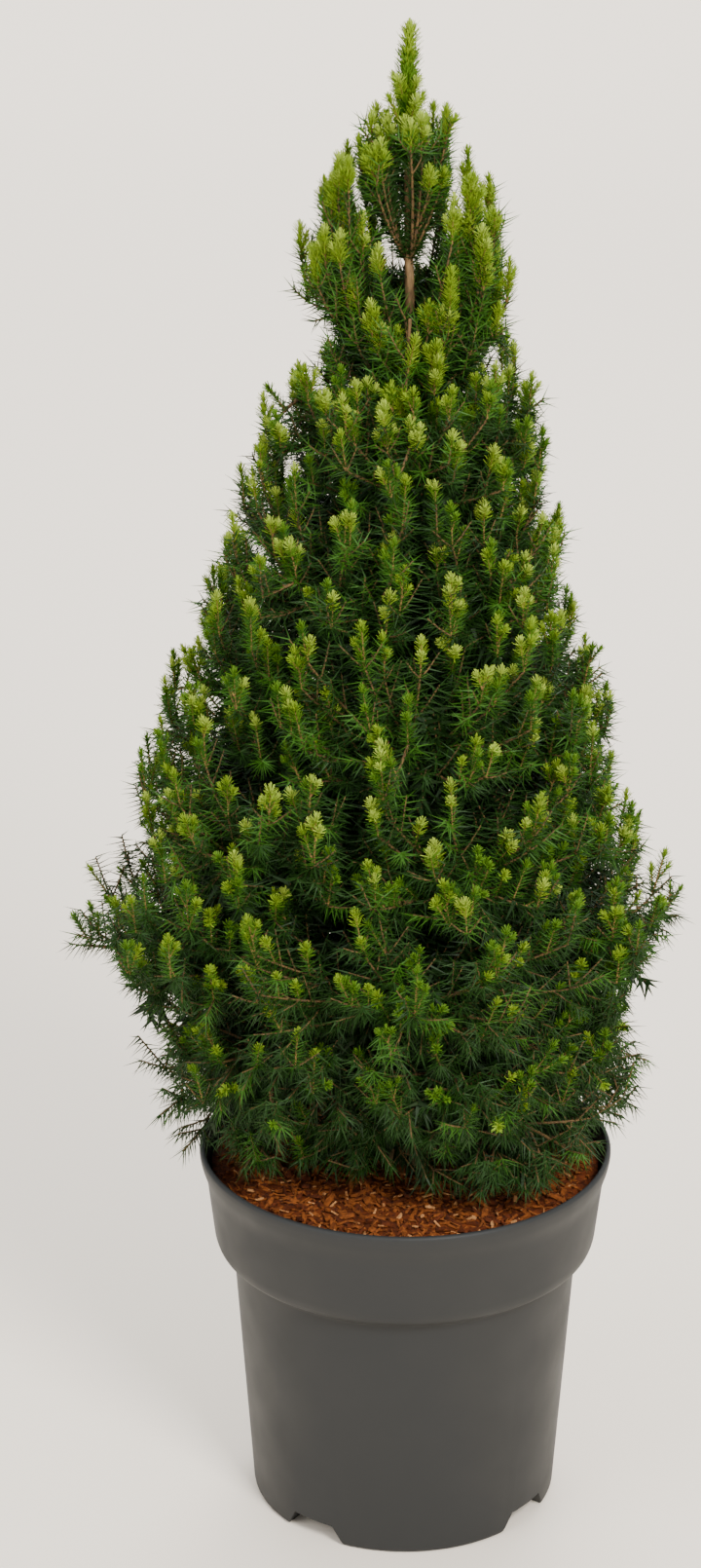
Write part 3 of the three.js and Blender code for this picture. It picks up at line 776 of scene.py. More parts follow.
def new_tree(name, sockets):
    """An empty geometry tree with named inputs, and its group input node."""
    tree = bpy.data.node_groups.new(name, "GeometryNodeTree")
    tree.interface.new_socket("Geometry", in_out="INPUT", socket_type="NodeSocketGeometry")
    for socket, kind in sockets.items():
        tree.interface.new_socket(socket, in_out="INPUT", socket_type=kind)
    tree.interface.new_socket("Geometry", in_out="OUTPUT", socket_type="NodeSocketGeometry")
    return tree, add_node(tree, "NodeGroupInput").outputs


def close_tree(tree, made, material):
    """Every tree ends alike: its instances made real, and the material set."""
    real = add_node(tree, "GeometryNodeRealizeInstances", {"Geometry": made})
    finished = add_node(tree, "GeometryNodeSetMaterial", {"Geometry": real, "Material": material})
    add_node(tree, "NodeGroupOutput", {"Geometry": finished})
    return tree


def apply_tree(name, mesh, tree, values):
    """Runs a tree on a mesh and returns the result as a plain mesh object."""
    carrier = add_object(f"{name}_carrier", mesh)
    modifier = carrier.modifiers.new("Growth", "NODES")
    modifier.node_group = tree
    for item in tree.interface.items_tree:
        if item.in_out == "INPUT" and item.name in values:
            modifier[item.identifier] = values[item.name]
    depsgraph = bpy.context.evaluated_depsgraph_get()
    made = bpy.data.meshes.new_from_object(carrier.evaluated_get(depsgraph))
    bpy.data.objects.remove(carrier)
    made.name = name
    return add_object(name, made)


def ring_of(radius, height, sides):
    """The points of a level ring, or the one point of a ring without a radius."""
    if radius < 1e-6:
        return [(0, 0, height)]
    turns = [i / sides * math.tau for i in range(sides)]
    return [(radius * math.cos(turn), radius * math.sin(turn), height) for turn in turns]


def lofted(name, rings, capped=False, is_ground=False):
    """A mesh over rings of points in millimetres. Ground faces up, and every other mesh outwards."""
    loft = bmesh.new()
    rows = [[loft.verts.new([value * MM for value in point]) for point in ring] for ring in rings]
    if capped:
        loft.faces.new(rows[0])
        loft.faces.new(rows[-1])
    sides = max(map(len, rows))
    for low, high in zip(rows, rows[1:]):
        for i in range(sides):
            j = (i + 1) % sides
            lows = low[i % len(low)], low[j % len(low)]
            highs = high[i % len(high)], high[j % len(high)]
            corners = (lows[0], *highs, lows[1]) if is_ground else (*lows, highs[1], highs[0])
            loft.faces.new(list(dict.fromkeys(corners)))
    if not is_ground:
        bmesh.ops.recalc_face_normals(loft, faces=loft.faces)
    mesh = bpy.data.meshes.new(name)
    loft.to_mesh(mesh)
    loft.free()
    return mesh


def smooth_by_angle(obj, degrees):
    obj.data.shade_smooth()
    obj.data.set_sharp_from_angle(angle=math.radians(degrees))


def needle_shape(name, corners, faces):
    """One needle a unit long and wide, with its root inside the twig."""
    mesh = bpy.data.meshes.new(name)
    mesh.from_pydata(corners, [], faces)
    return bpy.data.objects.new(name, mesh)


def needle_tree():
    """Needles in a spiral along every stretch of twig, standing as the stretch's own values say."""
    floats = ("Length", "Width", "Spacing", "Lean Spread", "Length Spread")
    sockets = dict.fromkeys(floats, "NodeSocketFloat")
    sockets |= {"Needle": "NodeSocketObject", "Seed": "NodeSocketInt", "Material": "NodeSocketMaterial"}
    tree, group = new_tree("Needle sprays", sockets)
    own = {}
    for key in ("spacing", "length", "width", "root_lean", "tip_lean", "droop"):
        own[key] = add_node(tree, POINT_VALUE, {"Name": key}, data_type="FLOAT").outputs[0]

    curve = add_node(tree, "GeometryNodeMeshToCurve", {"Mesh": group["Geometry"]})
    kept = add_node(tree, "GeometryNodeCaptureAttribute", {"Geometry": curve})
    kept.capture_items.new("FLOAT", "Along")
    along = add_node(tree, "GeometryNodeSplineParameter")
    tree.links.new(along.outputs["Factor"], kept.inputs["Along"])
    spacing = add_node(tree, MATH, {0: own["spacing"], 1: group["Spacing"]}, operation="MULTIPLY")
    points = add_node(tree, "GeometryNodeCurveToPoints", {"Curve": kept, "Length": spacing}, mode="LENGTH")

    index = add_node(tree, "GeometryNodeInputIndex")
    draws = []
    for shift in (0.0, 7.0):
        seed = add_node(tree, MATH, {0: group["Seed"], 1: shift}, operation="ADD")
        draw = add_node(tree, RANDOM, {LEAST: -1.0, MOST: 1.0, "ID": index, "Seed": seed})
        draws.append(draw.outputs[DRAWN])
    sway = add_node(tree, MATH, {0: draws[1], 1: SPIRAL_SWAY}, operation="MULTIPLY")
    around = add_node(tree, MATH, {0: index, 1: GOLDEN_ANGLE, 2: sway}, operation="MULTIPLY_ADD")
    leans = {"Value": kept.outputs["Along"], "To Min": own["root_lean"], "To Max": own["tip_lean"]}
    mean = add_node(tree, "ShaderNodeMapRange", leans)
    lean = add_node(tree, MATH, {0: draws[0], 1: group["Lean Spread"], 2: mean}, operation="MULTIPLY_ADD")
    turn = add_node(tree, "ShaderNodeCombineXYZ", {"X": lean, "Z": around})
    local = add_node(tree, "FunctionNodeEulerToRotation", {"Euler": turn})
    leaning = add_node(
        tree,
        "FunctionNodeRotateRotation",
        {"Rotation": points.outputs["Rotation"], "Rotate By": local},
        rotation_space="LOCAL",
    )
    hanging = add_node(
        tree,
        "FunctionNodeAlignRotationToVector",
        {"Rotation": leaning, "Factor": own["droop"], "Vector": (0.0, 0.0, -1.0)},
        axis="Z",
    )

    lengths = {0: draws[1], 1: group["Length Spread"], 2: group["Length"]}
    uneven = add_node(tree, MATH, lengths, operation="MULTIPLY_ADD")
    length = add_node(tree, MATH, {0: uneven, 1: own["length"]}, operation="MULTIPLY")
    width = add_node(tree, MATH, {0: group["Width"], 1: own["width"]}, operation="MULTIPLY")
    scale = add_node(tree, "ShaderNodeCombineXYZ", {"X": width, "Y": width, "Z": length})
    needle = add_node(tree, "GeometryNodeObjectInfo", {"Object": group["Needle"]}).outputs["Geometry"]
    inputs = {"Points": points, "Instance": needle, "Rotation": hanging, "Scale": scale}
    return close_tree(tree, add_node(tree, "GeometryNodeInstanceOnPoints", inputs), group["Material"])


def twig_tree():
    """A thin round-sided tube along every line, as thick as its points say."""
    tree, group = new_tree("Twigs", {"Sides": "NodeSocketInt", "Material": "NodeSocketMaterial"})
    curve = add_node(tree, "GeometryNodeMeshToCurve", {"Mesh": group["Geometry"]})
    ring = add_node(tree, "GeometryNodeCurvePrimitiveCircle", {"Resolution": group["Sides"], "Radius": MM})
    radius = add_node(tree, POINT_VALUE, {"Name": "radius"}, data_type="FLOAT")
    inputs = {"Curve": curve, "Profile Curve": ring, "Scale": radius, "Fill Caps": True}
    return close_tree(tree, add_node(tree, "GeometryNodeCurveToMesh", inputs), group["Material"])


def chip_tree():
    """Bark chips strewn over a surface, turned every way and tilted a little."""
    floats = ("Spacing", "Density", "Tilt", "Smallest", "Largest")
    sockets = dict.fromkeys(floats, "NodeSocketFloat")
    sockets |= {"Seed": "NodeSocketInt", "Chips": "NodeSocketCollection", "Material": "NodeSocketMaterial"}
    tree, group = new_tree("Strewn chips", sockets)
    inputs = {"Mesh": group["Geometry"], "Distance Min": group["Spacing"]}
    inputs |= {"Density Max": group["Density"], "Seed": group["Seed"]}
    points = add_node(tree, "GeometryNodeDistributePointsOnFaces", inputs, distribute_method="POISSON")
    inputs = {"Collection": group["Chips"], "Separate Children": True, "Reset Children": True}
    chips = add_node(tree, "GeometryNodeCollectionInfo", inputs)
    least_tilt = add_node(tree, MATH, {0: 0.0, 1: group["Tilt"]}, operation="SUBTRACT")
    tilts = (least_tilt, group["Tilt"])
    bounds = (tilts, tilts, (0.0, math.tau), (group["Smallest"], group["Largest"]))
    draws = []
    for shift, (least, most) in enumerate(bounds):
        seed = add_node(tree, MATH, {0: group["Seed"], 1: float(shift)}, operation="ADD")
        draws.append(add_node(tree, RANDOM, {LEAST: least, MOST: most, "Seed": seed}).outputs[DRAWN])
    turn = add_node(tree, "ShaderNodeCombineXYZ", dict(zip("XYZ", draws)))
    rotation = add_node(tree, "FunctionNodeEulerToRotation", {"Euler": turn})
    inputs = {"Points": points, "Instance": chips, "Pick Instance": True}
    inputs |= {"Rotation": rotation, "Scale": draws[3]}
    return close_tree(tree, add_node(tree, "GeometryNodeInstanceOnPoints", inputs), group["Material"])


# Materials

def new_material(name, colour, roughness, **sockets):
    """A material whose Principled shader has constant values, ready for a pattern."""
    material = bpy.data.materials.new(name)
    material.use_nodes = True
    shader = material.node_tree.nodes["Principled BSDF"]
    shader.inputs["Base Color"].default_value = colour
    shader.inputs["Roughness"].default_value = roughness
    for socket, value in sockets.items():
        shader.inputs[socket.replace("_", " ")].default_value = value
    return material, material.node_tree, shader


class Tone(NamedTuple):
    """One tone of needle, set by its age and for some by painted shade and light: its finish, its colour, the
    record's slot and its shape.
    """

    finish: str
    colour: int
    slot: str
    shape: str


NEEDLE_SHAPES = {
    "slim": (
        [(0.5, 0, 0), (-0.25, 0.43, 0), (-0.25, -0.43, 0), (0, 0, 1)],
        [(0, 1, 3), (1, 2, 3), (2, 0, 3)],
    ),
    "blunt": (
        [(-0.5, 0, 0), (0, 0.22, 0), (0.5, 0, 0), (-0.26, 0, 1), (0, 0.12, 1), (0.26, 0, 1)],
        [(0, 1, 4, 3), (1, 2, 5, 4)],
    ),
}
# Inner, nearly black, is painted shade deep and low in the crown; green is also painted light on lit needles.
TONES = {
    "inner": Tone("Shaded old spruce needle", 0x142A0A, "mature_needles", "slim"),
    "old": Tone("Mature spruce needle", 0x1B380B, "mature_needles", "slim"),
    "green": Tone("Year-old spruce needle", 0x315911, "mid_needles", "slim"),
    "fresh": Tone("Soft new spruce needle", 0x577C19, "mid_needles", "blunt"),
    "lime": Tone("Budding spruce needle", 0x819C24, "young_needles", "blunt"),
    "pale": Tone("Just opened spruce bud", 0x9FB444, "young_needles", "blunt"),
}
LEAN_SPREAD = 12
LENGTH_SPREAD = 0.18
SPIRAL_SWAY = 0.4


class Grain(NamedTuple):
    """A fibrous surface: size and height in mm, stretch up the piece, and where its two colours begin."""

    size: float
    stretch: float
    detail: float
    unevenness: float
    bounds: tuple
    strength: float
    height: float
    roughness: float
    gloss: float


# Thin young conifer bark is matt and papery, and shows fine lengthwise streaks from tan to brown.
BARK = Grain(2.4, 0.25, 5.0, 0.5, (0.34, 0.66), 0.5, 0.6, 0.82, 0.5)
TWIG_BARK = BARK._replace(size=1.6)
SHOOT_BARK = BARK._replace(size=1.2)
# Shredded conifer bark has dull fibres a millimetre or two wide, with darker cork between them.
CHIP = Grain(3.5, 1.0, 4.0, 0.65, (0.36, 0.62), 0.6, 0.8, 0.88, 0.2)


def needle_material(tone):
    """A waxy cuticle over leaf tissue: a soft gloss on plain greens that are dealt out by spray."""
    values = {"IOR": 1.42, "Specular_IOR_Level": 0.28}
    return new_material(tone.finish, linear(tone.colour), 0.55, **values)[0]


def fibrous_material(name, light, dark, grain):
    """Bark, whole or shredded: fibres between a light and a dark colour, with their relief."""
    values = {"IOR": 1.5, "Specular_IOR_Level": grain.gloss}
    material, tree, shader = new_material(name, linear(light), grain.roughness, **values)
    place = add_node(tree, "ShaderNodeTexCoord").outputs["Object"]
    place = add_node(tree, "ShaderNodeMapping", {"Vector": place, "Scale": (1.0, 1.0, grain.stretch)})
    inputs = {"Vector": place, "Scale": 1 / (grain.size * MM)}
    inputs |= {"Detail": grain.detail, "Roughness": grain.unevenness}
    fibres = add_node(tree, NOISE, inputs)
    ramp = add_node(tree, "ShaderNodeValToRGB", {"Fac": fibres})
    for stop, position, colour in zip(ramp.color_ramp.elements, grain.bounds, (dark, light)):
        stop.position = position
        stop.color = linear(colour)
    inputs = {"Height": fibres, "Strength": grain.strength, "Distance": grain.height * MM}
    relief = add_node(tree, "ShaderNodeBump", inputs)
    tree.links.new(ramp.outputs[0], shader.inputs["Base Color"])
    tree.links.new(relief.outputs[0], shader.inputs["Normal"])
    return material


def pot_material(colour):
    """Injection-moulded recycled polypropylene: a satin grey with a cloudy sheen.

    Its grain is too fine to show, so it is drawn 0.9 mm wide, and breaks up the gloss a little.
    """
    name = "Moulded recycled polypropylene"
    material, tree, shader = new_material(name, colour, 0.55, IOR=1.36, Specular_IOR_Level=0.32)
    place = add_node(tree, "ShaderNodeTexCoord").outputs["Object"]
    cloud, grain = (
        add_node(tree, NOISE, {"Vector": place, "Scale": 1 / (size * MM), "Detail": detail})
        for size, detail in ((45, 3.0), (0.9, 2.0))
    )
    inputs = {"Value": cloud, "From Min": 0.3, "From Max": 0.7, "To Min": 0.48, "To Max": 0.6}
    gloss = add_node(tree, "ShaderNodeMapRange", inputs)
    relief = add_node(tree, "ShaderNodeBump", {"Height": grain, "Strength": 0.25, "Distance": 0.08 * MM})
    tree.links.new(gloss.outputs[0], shader.inputs["Roughness"])
    tree.links.new(relief.outputs[0], shader.inputs["Normal"])
    return material


# The stage

def soft_light(name, place, aim, size, power, colour=(1.0, 1.0, 1.0)):
    """A square soft light that faces a point."""
    lamp = bpy.data.lights.new(name, "AREA")
    lamp.size = size
    lamp.energy = power
    lamp.color = colour
    obj = add_object(name, lamp)
    obj.location = place
    obj.rotation_euler = (Vector(aim) - Vector(place)).to_track_quat("-Z", "Y").to_euler()


# The camera that was fitted to the photograph: its lens and sensor in mm, its tilt and pan in degrees
LENS = 91.87
SENSOR = 36
TILT = 68.34
PAN = 0.872
FLOOR_HALF = 12.0


class StageSettings(bpy.types.PropertyGroup):
    """Camera, floor and light."""

    camera_height: FloatProperty(
        name="Camera height", description="Above the floor", default=1.599, unit="LENGTH"
    )
    camera_distance: FloatProperty(
        name="Camera distance", description="In front of the plant", default=2.618, unit="LENGTH"
    )
    floor_colour: FloatVectorProperty(
        name="Floor", description="Pale floor", default=linear(0xFFF3E2), size=4, subtype="COLOR"
    )
    light_power: FloatProperty(
        name="Key light", description="Power of the main soft light", default=140, unit="POWER"
    )
    backdrop_power: FloatProperty(
        name="Backdrop light", description="Power of the light far behind", default=480, unit="POWER"
    )


class SPRUCE_OT_stage(bpy.types.Operator):
    """Sets up the camera, the floor and soft studio light"""

    bl_idname = "spruce.stage"
    bl_label = "Set up the stage"

    def execute(self, context):
        settings = context.scene.spruce_stage
        camera = bpy.data.cameras.new("Camera")
        camera.lens = LENS
        camera.sensor_width = SENSOR
        viewer = add_object("Camera", camera)
        viewer.location = (0, -settings.camera_distance, settings.camera_height)
        viewer.rotation_euler = (math.radians(TILT), 0, math.radians(PAN))
        context.scene.camera = viewer

        corners = [(x * FLOOR_HALF, y * FLOOR_HALF, 0) for x, y in ((-1, -1), (1, -1), (1, 1), (-1, 1))]
        mesh = bpy.data.meshes.new("floor")
        mesh.from_pydata(corners, [], [(0, 1, 2, 3)])
        # Rolled paper is matt and even. Its fibres are too fine to show, and are drawn 1.5 mm wide.
        paper, tree, shader = new_material("Matt studio paper", settings.floor_colour, 0.75)
        place = add_node(tree, "ShaderNodeTexCoord").outputs["Object"]
        fibre = add_node(tree, NOISE, {"Vector": place, "Scale": 1 / (1.5 * MM), "Detail": 3.0})
        relief = add_node(tree, "ShaderNodeBump", {"Height": fibre, "Strength": 0.1, "Distance": 0.05 * MM})
        tree.links.new(relief.outputs[0], shader.inputs["Normal"])
        mesh.materials.append(paper)
        add_object("floor", mesh)

        world = bpy.data.worlds.new("Studio")
        world.use_nodes = True
        background = world.node_tree.nodes["Background"]
        background.inputs["Color"].default_value = linear(0xF2F4F6)
        background.inputs["Strength"].default_value = 1.0
        context.scene.world = world
        middle = (0, 0, 0.55)
        power = settings.light_power
        soft_light("key_light", (1.1, -2.3, 2.5), middle, 0.9, power, (1.0, 0.98, 0.95))
        soft_light("fill_light", (-1.9, -1.5, 1.6), middle, 1.6, power * 0.22)
        soft_light("back_light", (0.6, 2.4, 2.3), middle, 1.4, power * 0.25)
        soft_light("backdrop_light", (0, 6, 4), (0, 6, 0), 6.0, settings.backdrop_power)
        return {"FINISHED"}


# The pot

class PotSettings(bpy.types.PropertyGroup):
    """The nursery pot. Its outer sizes come from the solid model."""

    lip_radius: FloatProperty(
        name="Lip radius", description="Widest radius", default=POT_HIGH.x, unit="LENGTH"
    )
    height: FloatProperty(name="Height", description="Over all", default=POT_HIGH.z, unit="LENGTH")
    wall: FloatProperty(name="Wall", description="Wall thickness", default=2.4 * MM, unit="LENGTH")
    sides: IntProperty(name="Facets", description="Facets round the pot", default=144)
    colour: FloatVectorProperty(
        name="Plastic", description="Dark grey", default=linear(0x2B2C2C), size=4, subtype="COLOR"
    )


COLLAR_TOP = (145, 257)
COLLAR_LOW = (139.5, 210)
TUCK = (137, 203.5)
BODY_TOP = (126, 197)
FOOT_RADIUS = 112
FOOT_BEVEL = 4
LIP_DROP = 8
LIP_ROUND = 1.6
POT_FLOOR = 20
DRAIN_COUNT = 4
DRAIN_ANGLE = 234
DRAIN_HEIGHT = 15
DRAIN_WIDTH = 52
DRAIN_SLANT = 9
DRAIN_INNER = 62
DRAIN_OVERCUT = (5, 20)
POT_SMOOTH_ANGLE = 35


def rounded(corners, steps=5):
    """A profile through corners, each an (r, z, rounding) whose bend is a smooth arc."""
    points = []
    for k, (r, z, rounding) in enumerate(corners):
        here = Vector((r, z))
        if rounding == 0 or k in (0, len(corners) - 1):
            points.append(here)
            continue
        before = Vector(corners[k - 1][:2]) - here
        after = Vector(corners[k + 1][:2]) - here
        size = min(rounding, before.length * 0.48, after.length * 0.48)
        start = here + before.normalized() * size
        end = here + after.normalized() * size
        for step in range(steps + 1):
            share = step / steps
            points.append(start.lerp(here, share).lerp(here.lerp(end, share), share))
    return points


def drain_cutter(angle):
    """A long trapezium under the pot's floor, which goes on below it and out through the wall."""
    low, high = DRAIN_WIDTH / 2, DRAIN_WIDTH / 2 - DRAIN_SLANT
    below, beyond = -DRAIN_OVERCUT[0], FOOT_RADIUS + DRAIN_OVERCUT[1]
    section = [(-low, below), (low, below), (low, 0), (high, DRAIN_HEIGHT), (-high, DRAIN_HEIGHT), (-low, 0)]
    out = Vector((math.cos(angle), math.sin(angle), 0))
    side = Vector((-out.y, out.x, 0))
    ends = [[out * far + side * s + UP * z for s, z in section] for far in (DRAIN_INNER, beyond)]
    return add_object("drain", lofted("drain", ends, capped=True))


class SPRUCE_OT_pot(bpy.types.Operator):
    """Moulds the nursery pot with its lip, deep collar, tuck and drain notches"""

    bl_idname = "spruce.pot"
    bl_label = "Mould the pot"

    def execute(self, context):
        settings = context.scene.spruce_pot
        lip, height, wall = settings.lip_radius / MM, settings.height / MM, settings.wall / MM
        inner_foot = FOOT_RADIUS - wall + (BODY_TOP[0] - FOOT_RADIUS) * POT_FLOOR / BODY_TOP[1]
        profile = rounded(
            [
                (0, 0, 0),
                (FOOT_RADIUS, 0, FOOT_BEVEL),
                (*BODY_TOP, 3),
                (*TUCK, 5),
                (*COLLAR_LOW, 12),
                (*COLLAR_TOP, 9),
                (lip - 1.2, height - LIP_DROP - 3, 8),
                (lip, height - LIP_DROP + 3, 4),
                (lip, height - LIP_ROUND, LIP_ROUND),
                (lip - 1.6, height, LIP_ROUND),
                (lip - 3.6, height, LIP_ROUND),
                (COLLAR_TOP[0] - wall, COLLAR_TOP[1], 5),
                (COLLAR_LOW[0] - wall, COLLAR_LOW[1], 8),
                (BODY_TOP[0] - wall, BODY_TOP[1], 10),
                (inner_foot, POT_FLOOR, 4),
                (0, POT_FLOOR, 0),
            ]
        )
        rings = [ring_of(radius, z, settings.sides) for radius, z in profile]
        pot = add_object("moulded_pot", lofted("moulded_pot", rings))
        for i in range(DRAIN_COUNT):
            cutter = drain_cutter(math.radians(DRAIN_ANGLE + i * 360 / DRAIN_COUNT))
            cut = pot.modifiers.new("Drain", "BOOLEAN")
            cut.operation = "DIFFERENCE"
            cut.solver = "EXACT"
            cut.object = cutter
            depsgraph = context.evaluated_depsgraph_get()
            made = bpy.data.meshes.new_from_object(pot.evaluated_get(depsgraph))
            pot.modifiers.remove(cut)
            pot.data = made
            bpy.data.objects.remove(cutter)
        smooth_by_angle(pot, POT_SMOOTH_ANGLE)
        pot.data.materials.clear()
        pot.data.materials.append(pot_material(settings.colour))
        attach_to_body(pot, "root")
        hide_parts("pot")
        return {"FINISHED"}


# The mulch

class MulchSettings(bpy.types.PropertyGroup):
    """The bed of bark mulch and the mix under it."""

    seed: IntProperty(name="Seed", description="Seed of the strewn chips", default=11)
    looseness: FloatProperty(name="Looseness", description="Factor on the chips' distances", default=1.0)


BED_RADIUS = 141.2
BED_DEPTH = 16
BED_DROP = 3
BED_DOME = 1.5
BED_LUMP = 1.6
BED_RINGS = 30
BED_SIDES = 72
CHIP_SHAPES = 6
CHIP_ROWS = 4
CHIP_TILT = 24
CHIP_LIFTS = (0.6, 1.0, 1.4, 1.8)
MOST_CHIPS = 120000.0


class Chips(NamedTuple):
    """One kind of chip: colours where light and dark, least distance in mm, sizes, and how far out."""

    light: int
    dark: int
    spacing: float
    smallest: float
    largest: float
    reach: float


CHIPS = {
    "dark_chips": Chips(0x5C2A0D, 0x301406, 10.0, 0.8, 1.5, 127),
    "brown_chips": Chips(0x824619, 0x4E260B, 8.2, 0.5, 1.4, 127),
    "bark_crumbs": Chips(0x8C4E1E, 0x582E10, 5.2, 0.18, 0.62, 136),
    "pale_chips": Chips(0xC08A58, 0x8E5A30, 15.0, 0.25, 0.8, 130),
}


def bed_height(x, y):
    """The top of the bed: a low dome with lumps, which stays under the solid model's own top."""
    radius = math.hypot(x, y)
    lumps = noise.noise(Vector((x / 14, y / 14, 0.3))) + 0.5 * noise.noise(Vector((x / 5, y / 5, 4.1)))
    return MULCH_HIGH.z / MM - BED_DROP - BED_DOME * (radius / BED_RADIUS) ** 2 + BED_LUMP * lumps


def bed_mesh(name, radius, depth, lift=0.0):
    """A round bed of soil, closed below where it has a depth."""
    level = [ring_of(radius * k / BED_RINGS, 0, BED_SIDES) for k in range(BED_RINGS + 1)]
    rings = [[(x, y, bed_height(x, y) + lift) for x, y, _ in ring] for ring in level]
    if depth:
        foot = bed_height(0, 0) - depth
        rings += [[(x, y, foot) for x, y, _ in rings[-1]], [(0, 0, foot)]]
    mesh = lofted(name, rings, is_ground=True)
    mesh.shade_smooth()
    return mesh


def chip_shapes():
    """A few torn flakes of bark, long and flat with ragged ends, kept out of sight in a collection."""
    rng = random.Random(SEED + 2)
    shapes = bpy.data.collections.new("chip_shapes")
    for number in range(CHIP_SHAPES):
        length = rng.uniform(9, 19)
        width = length * rng.choice((0.18, 0.28, 0.4, 0.55))
        thick = rng.uniform(1.6, 3.2)
        rows = []
        for k in range(CHIP_ROWS):
            along = (k / (CHIP_ROWS - 1) - 0.5) * length * rng.uniform(0.9, 1.1)
            wide = width * (0.35 if k in (0, CHIP_ROWS - 1) else 0.5) * rng.uniform(0.7, 1.15)
            bend = thick * rng.uniform(-0.5, 0.5)
            skew = width * rng.uniform(-0.12, 0.12)
            corners = ((-1, 0), (-0.3, 0.5), (1, 0.25), (0.8, -0.4))
            rows.append([(along, skew + wide * s, bend + thick * z) for s, z in corners])
        name = f"chip_{number}"
        shapes.objects.link(bpy.data.objects.new(name, lofted(name, rows, capped=True)))
    return shapes


class SPRUCE_OT_mulch(bpy.types.Operator):
    """Lays the bed of dark soil and strews four kinds of bark chips over it"""

    bl_idname = "spruce.mulch"
    bl_label = "Lay the mulch"

    def execute(self, context):
        settings = context.scene.spruce_mulch
        bed = add_object("mulch_bed", bed_mesh("mulch_bed", BED_RADIUS, BED_DEPTH))
        bed.data.materials.append(fibrous_material("Composted bark fines", 0x6E3413, 0x3A1A08, CHIP))
        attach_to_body(bed, "root")
        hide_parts("bark_mulch")

        tree = chip_tree()
        shapes = chip_shapes()
        for number, (name, chips) in enumerate(CHIPS.items()):
            finish = f"{name.capitalize().replace('_', ' ')} of shredded conifer"
            values = {
                "Spacing": chips.spacing * MM * settings.looseness,
                "Density": MOST_CHIPS,
                "Tilt": math.radians(CHIP_TILT),
                "Smallest": chips.smallest,
                "Largest": chips.largest,
                "Seed": settings.seed + 10 * number,
                "Chips": shapes,
                "Material": fibrous_material(finish, chips.light, chips.dark, CHIP),
            }
            ground = bed_mesh(f"{name}_ground", chips.reach, 0, CHIP_LIFTS[number])
            strewn = apply_tree(name, ground, tree, values)
            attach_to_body(strewn, "root")
        for shape in list(shapes.objects):
            bpy.data.objects.remove(shape)
        bpy.data.collections.remove(shapes)

        mix = frame["nodes"]["potting_mix"]
        mix.data.materials.clear()
        mix.data.materials.append(fibrous_material("Damp peat and bark mix", 0x3A2418, 0x1C110B, CHIP))
        return {"FINISHED"}


# Trunk and boughs

class BarkSettings(bpy.types.PropertyGroup):
    """Bark on the trunk, boughs and twigs."""

    relief: FloatProperty(
        name="Relief", description="Height of the bark's ridges", default=0.7 * MM, unit="LENGTH"
    )
    ring_step: FloatProperty(
        name="Ring step", description="Mesh step along a limb", default=2.5 * MM, unit="LENGTH"
    )


TRUNK_SIDES = 28
BOUGH_SIDES = 14
RELIEF_STEP = 2.5
FULL_RELIEF_RADIUS = 6
BOUGH_RELIEF = 0.6
BARK_SMOOTH_ANGLE = 50


def bark_relief(angle, height, radius):
    """Lengthwise ridges that break up, with small flakes over them, from -1 to 1."""
    around = radius * 0.35
    place = Vector((around * math.cos(angle), around * math.sin(angle), height / 22))
    ridges = 1 - 2 * abs(noise.noise(place * 1.1))
    flakes = noise.noise(Vector((place.x * 3, place.y * 3, height / 5)))
    return 0.65 * ridges + 0.35 * flakes


def limb(name, centres, radius_at, relief, sides):
    """A limb with bark round its centres, closed at both ends."""
    rings = []
    for k, centre in enumerate(centres):
        direction = (centres[min(k + 1, len(centres) - 1)] - centres[max(k - 1, 0)]).normalized()
        ring = []
        for i in range(sides):
            angle = i / sides * math.tau
            side = side_of(direction, angle)
            size = radius_at(k, math.atan2(side.y, side.x))
            size += relief * min(1, size / FULL_RELIEF_RADIUS) * bark_relief(angle, k * RELIEF_STEP, size)
            ring.append(centre + side * size)
        rings.append(ring)
    obj = add_object(name, lofted(name, rings, capped=True))
    smooth_by_angle(obj, BARK_SMOOTH_ANGLE)
    return obj


class SPRUCE_OT_limbs(bpy.types.Operator):
    """Gives the trunk and the boughs their bark"""

    bl_idname = "spruce.limbs"
    bl_label = "Grow trunk and boughs"

    def execute(self, context):
        settings = context.scene.spruce_bark
        relief = settings.relief / MM
        step = settings.ring_step / MM
        bark = fibrous_material("Young spruce bark", 0x8E7048, 0x543D22, BARK)
        count = int((TRUNK_TIP_HEIGHT - FOOT_HEIGHT) / step)
        heights = [lerp(FOOT_HEIGHT, TRUNK_TIP_HEIGHT, k / count) for k in range(count + 1)]
        trunk = limb(
            "bark_trunk",
            [trunk_axis(height) for height in heights],
            lambda k, angle: trunk_radius(heights[k], angle),
            relief,
            TRUNK_SIDES,
        )
        trunk.data.materials.append(bark)
        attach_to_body(trunk, "root")
        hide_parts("trunk")

        for tier in TIERS:
            if not tier.bough_end:
                continue
            for sector in range(1, tier.count + 1):
                branch = branch_of(tier, sector)
                rings = int(branch.reach * tier.bough_end / step)
                bough = limb(
                    f"bark_{tier.name}_bough_{sector}",
                    [branch_point(branch, tier.bough_end * k / rings) for k in range(rings + 1)],
                    lambda k, angle, rings=rings: lerp(*BOUGH_RADII, k / rings),
                    relief * BOUGH_RELIEF,
                    BOUGH_SIDES,
                )
                bough.data.materials.append(bark)
                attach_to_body(bough, "root")
                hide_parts(f"{tier.name}_bough_{sector}")
        return {"FINISHED"}


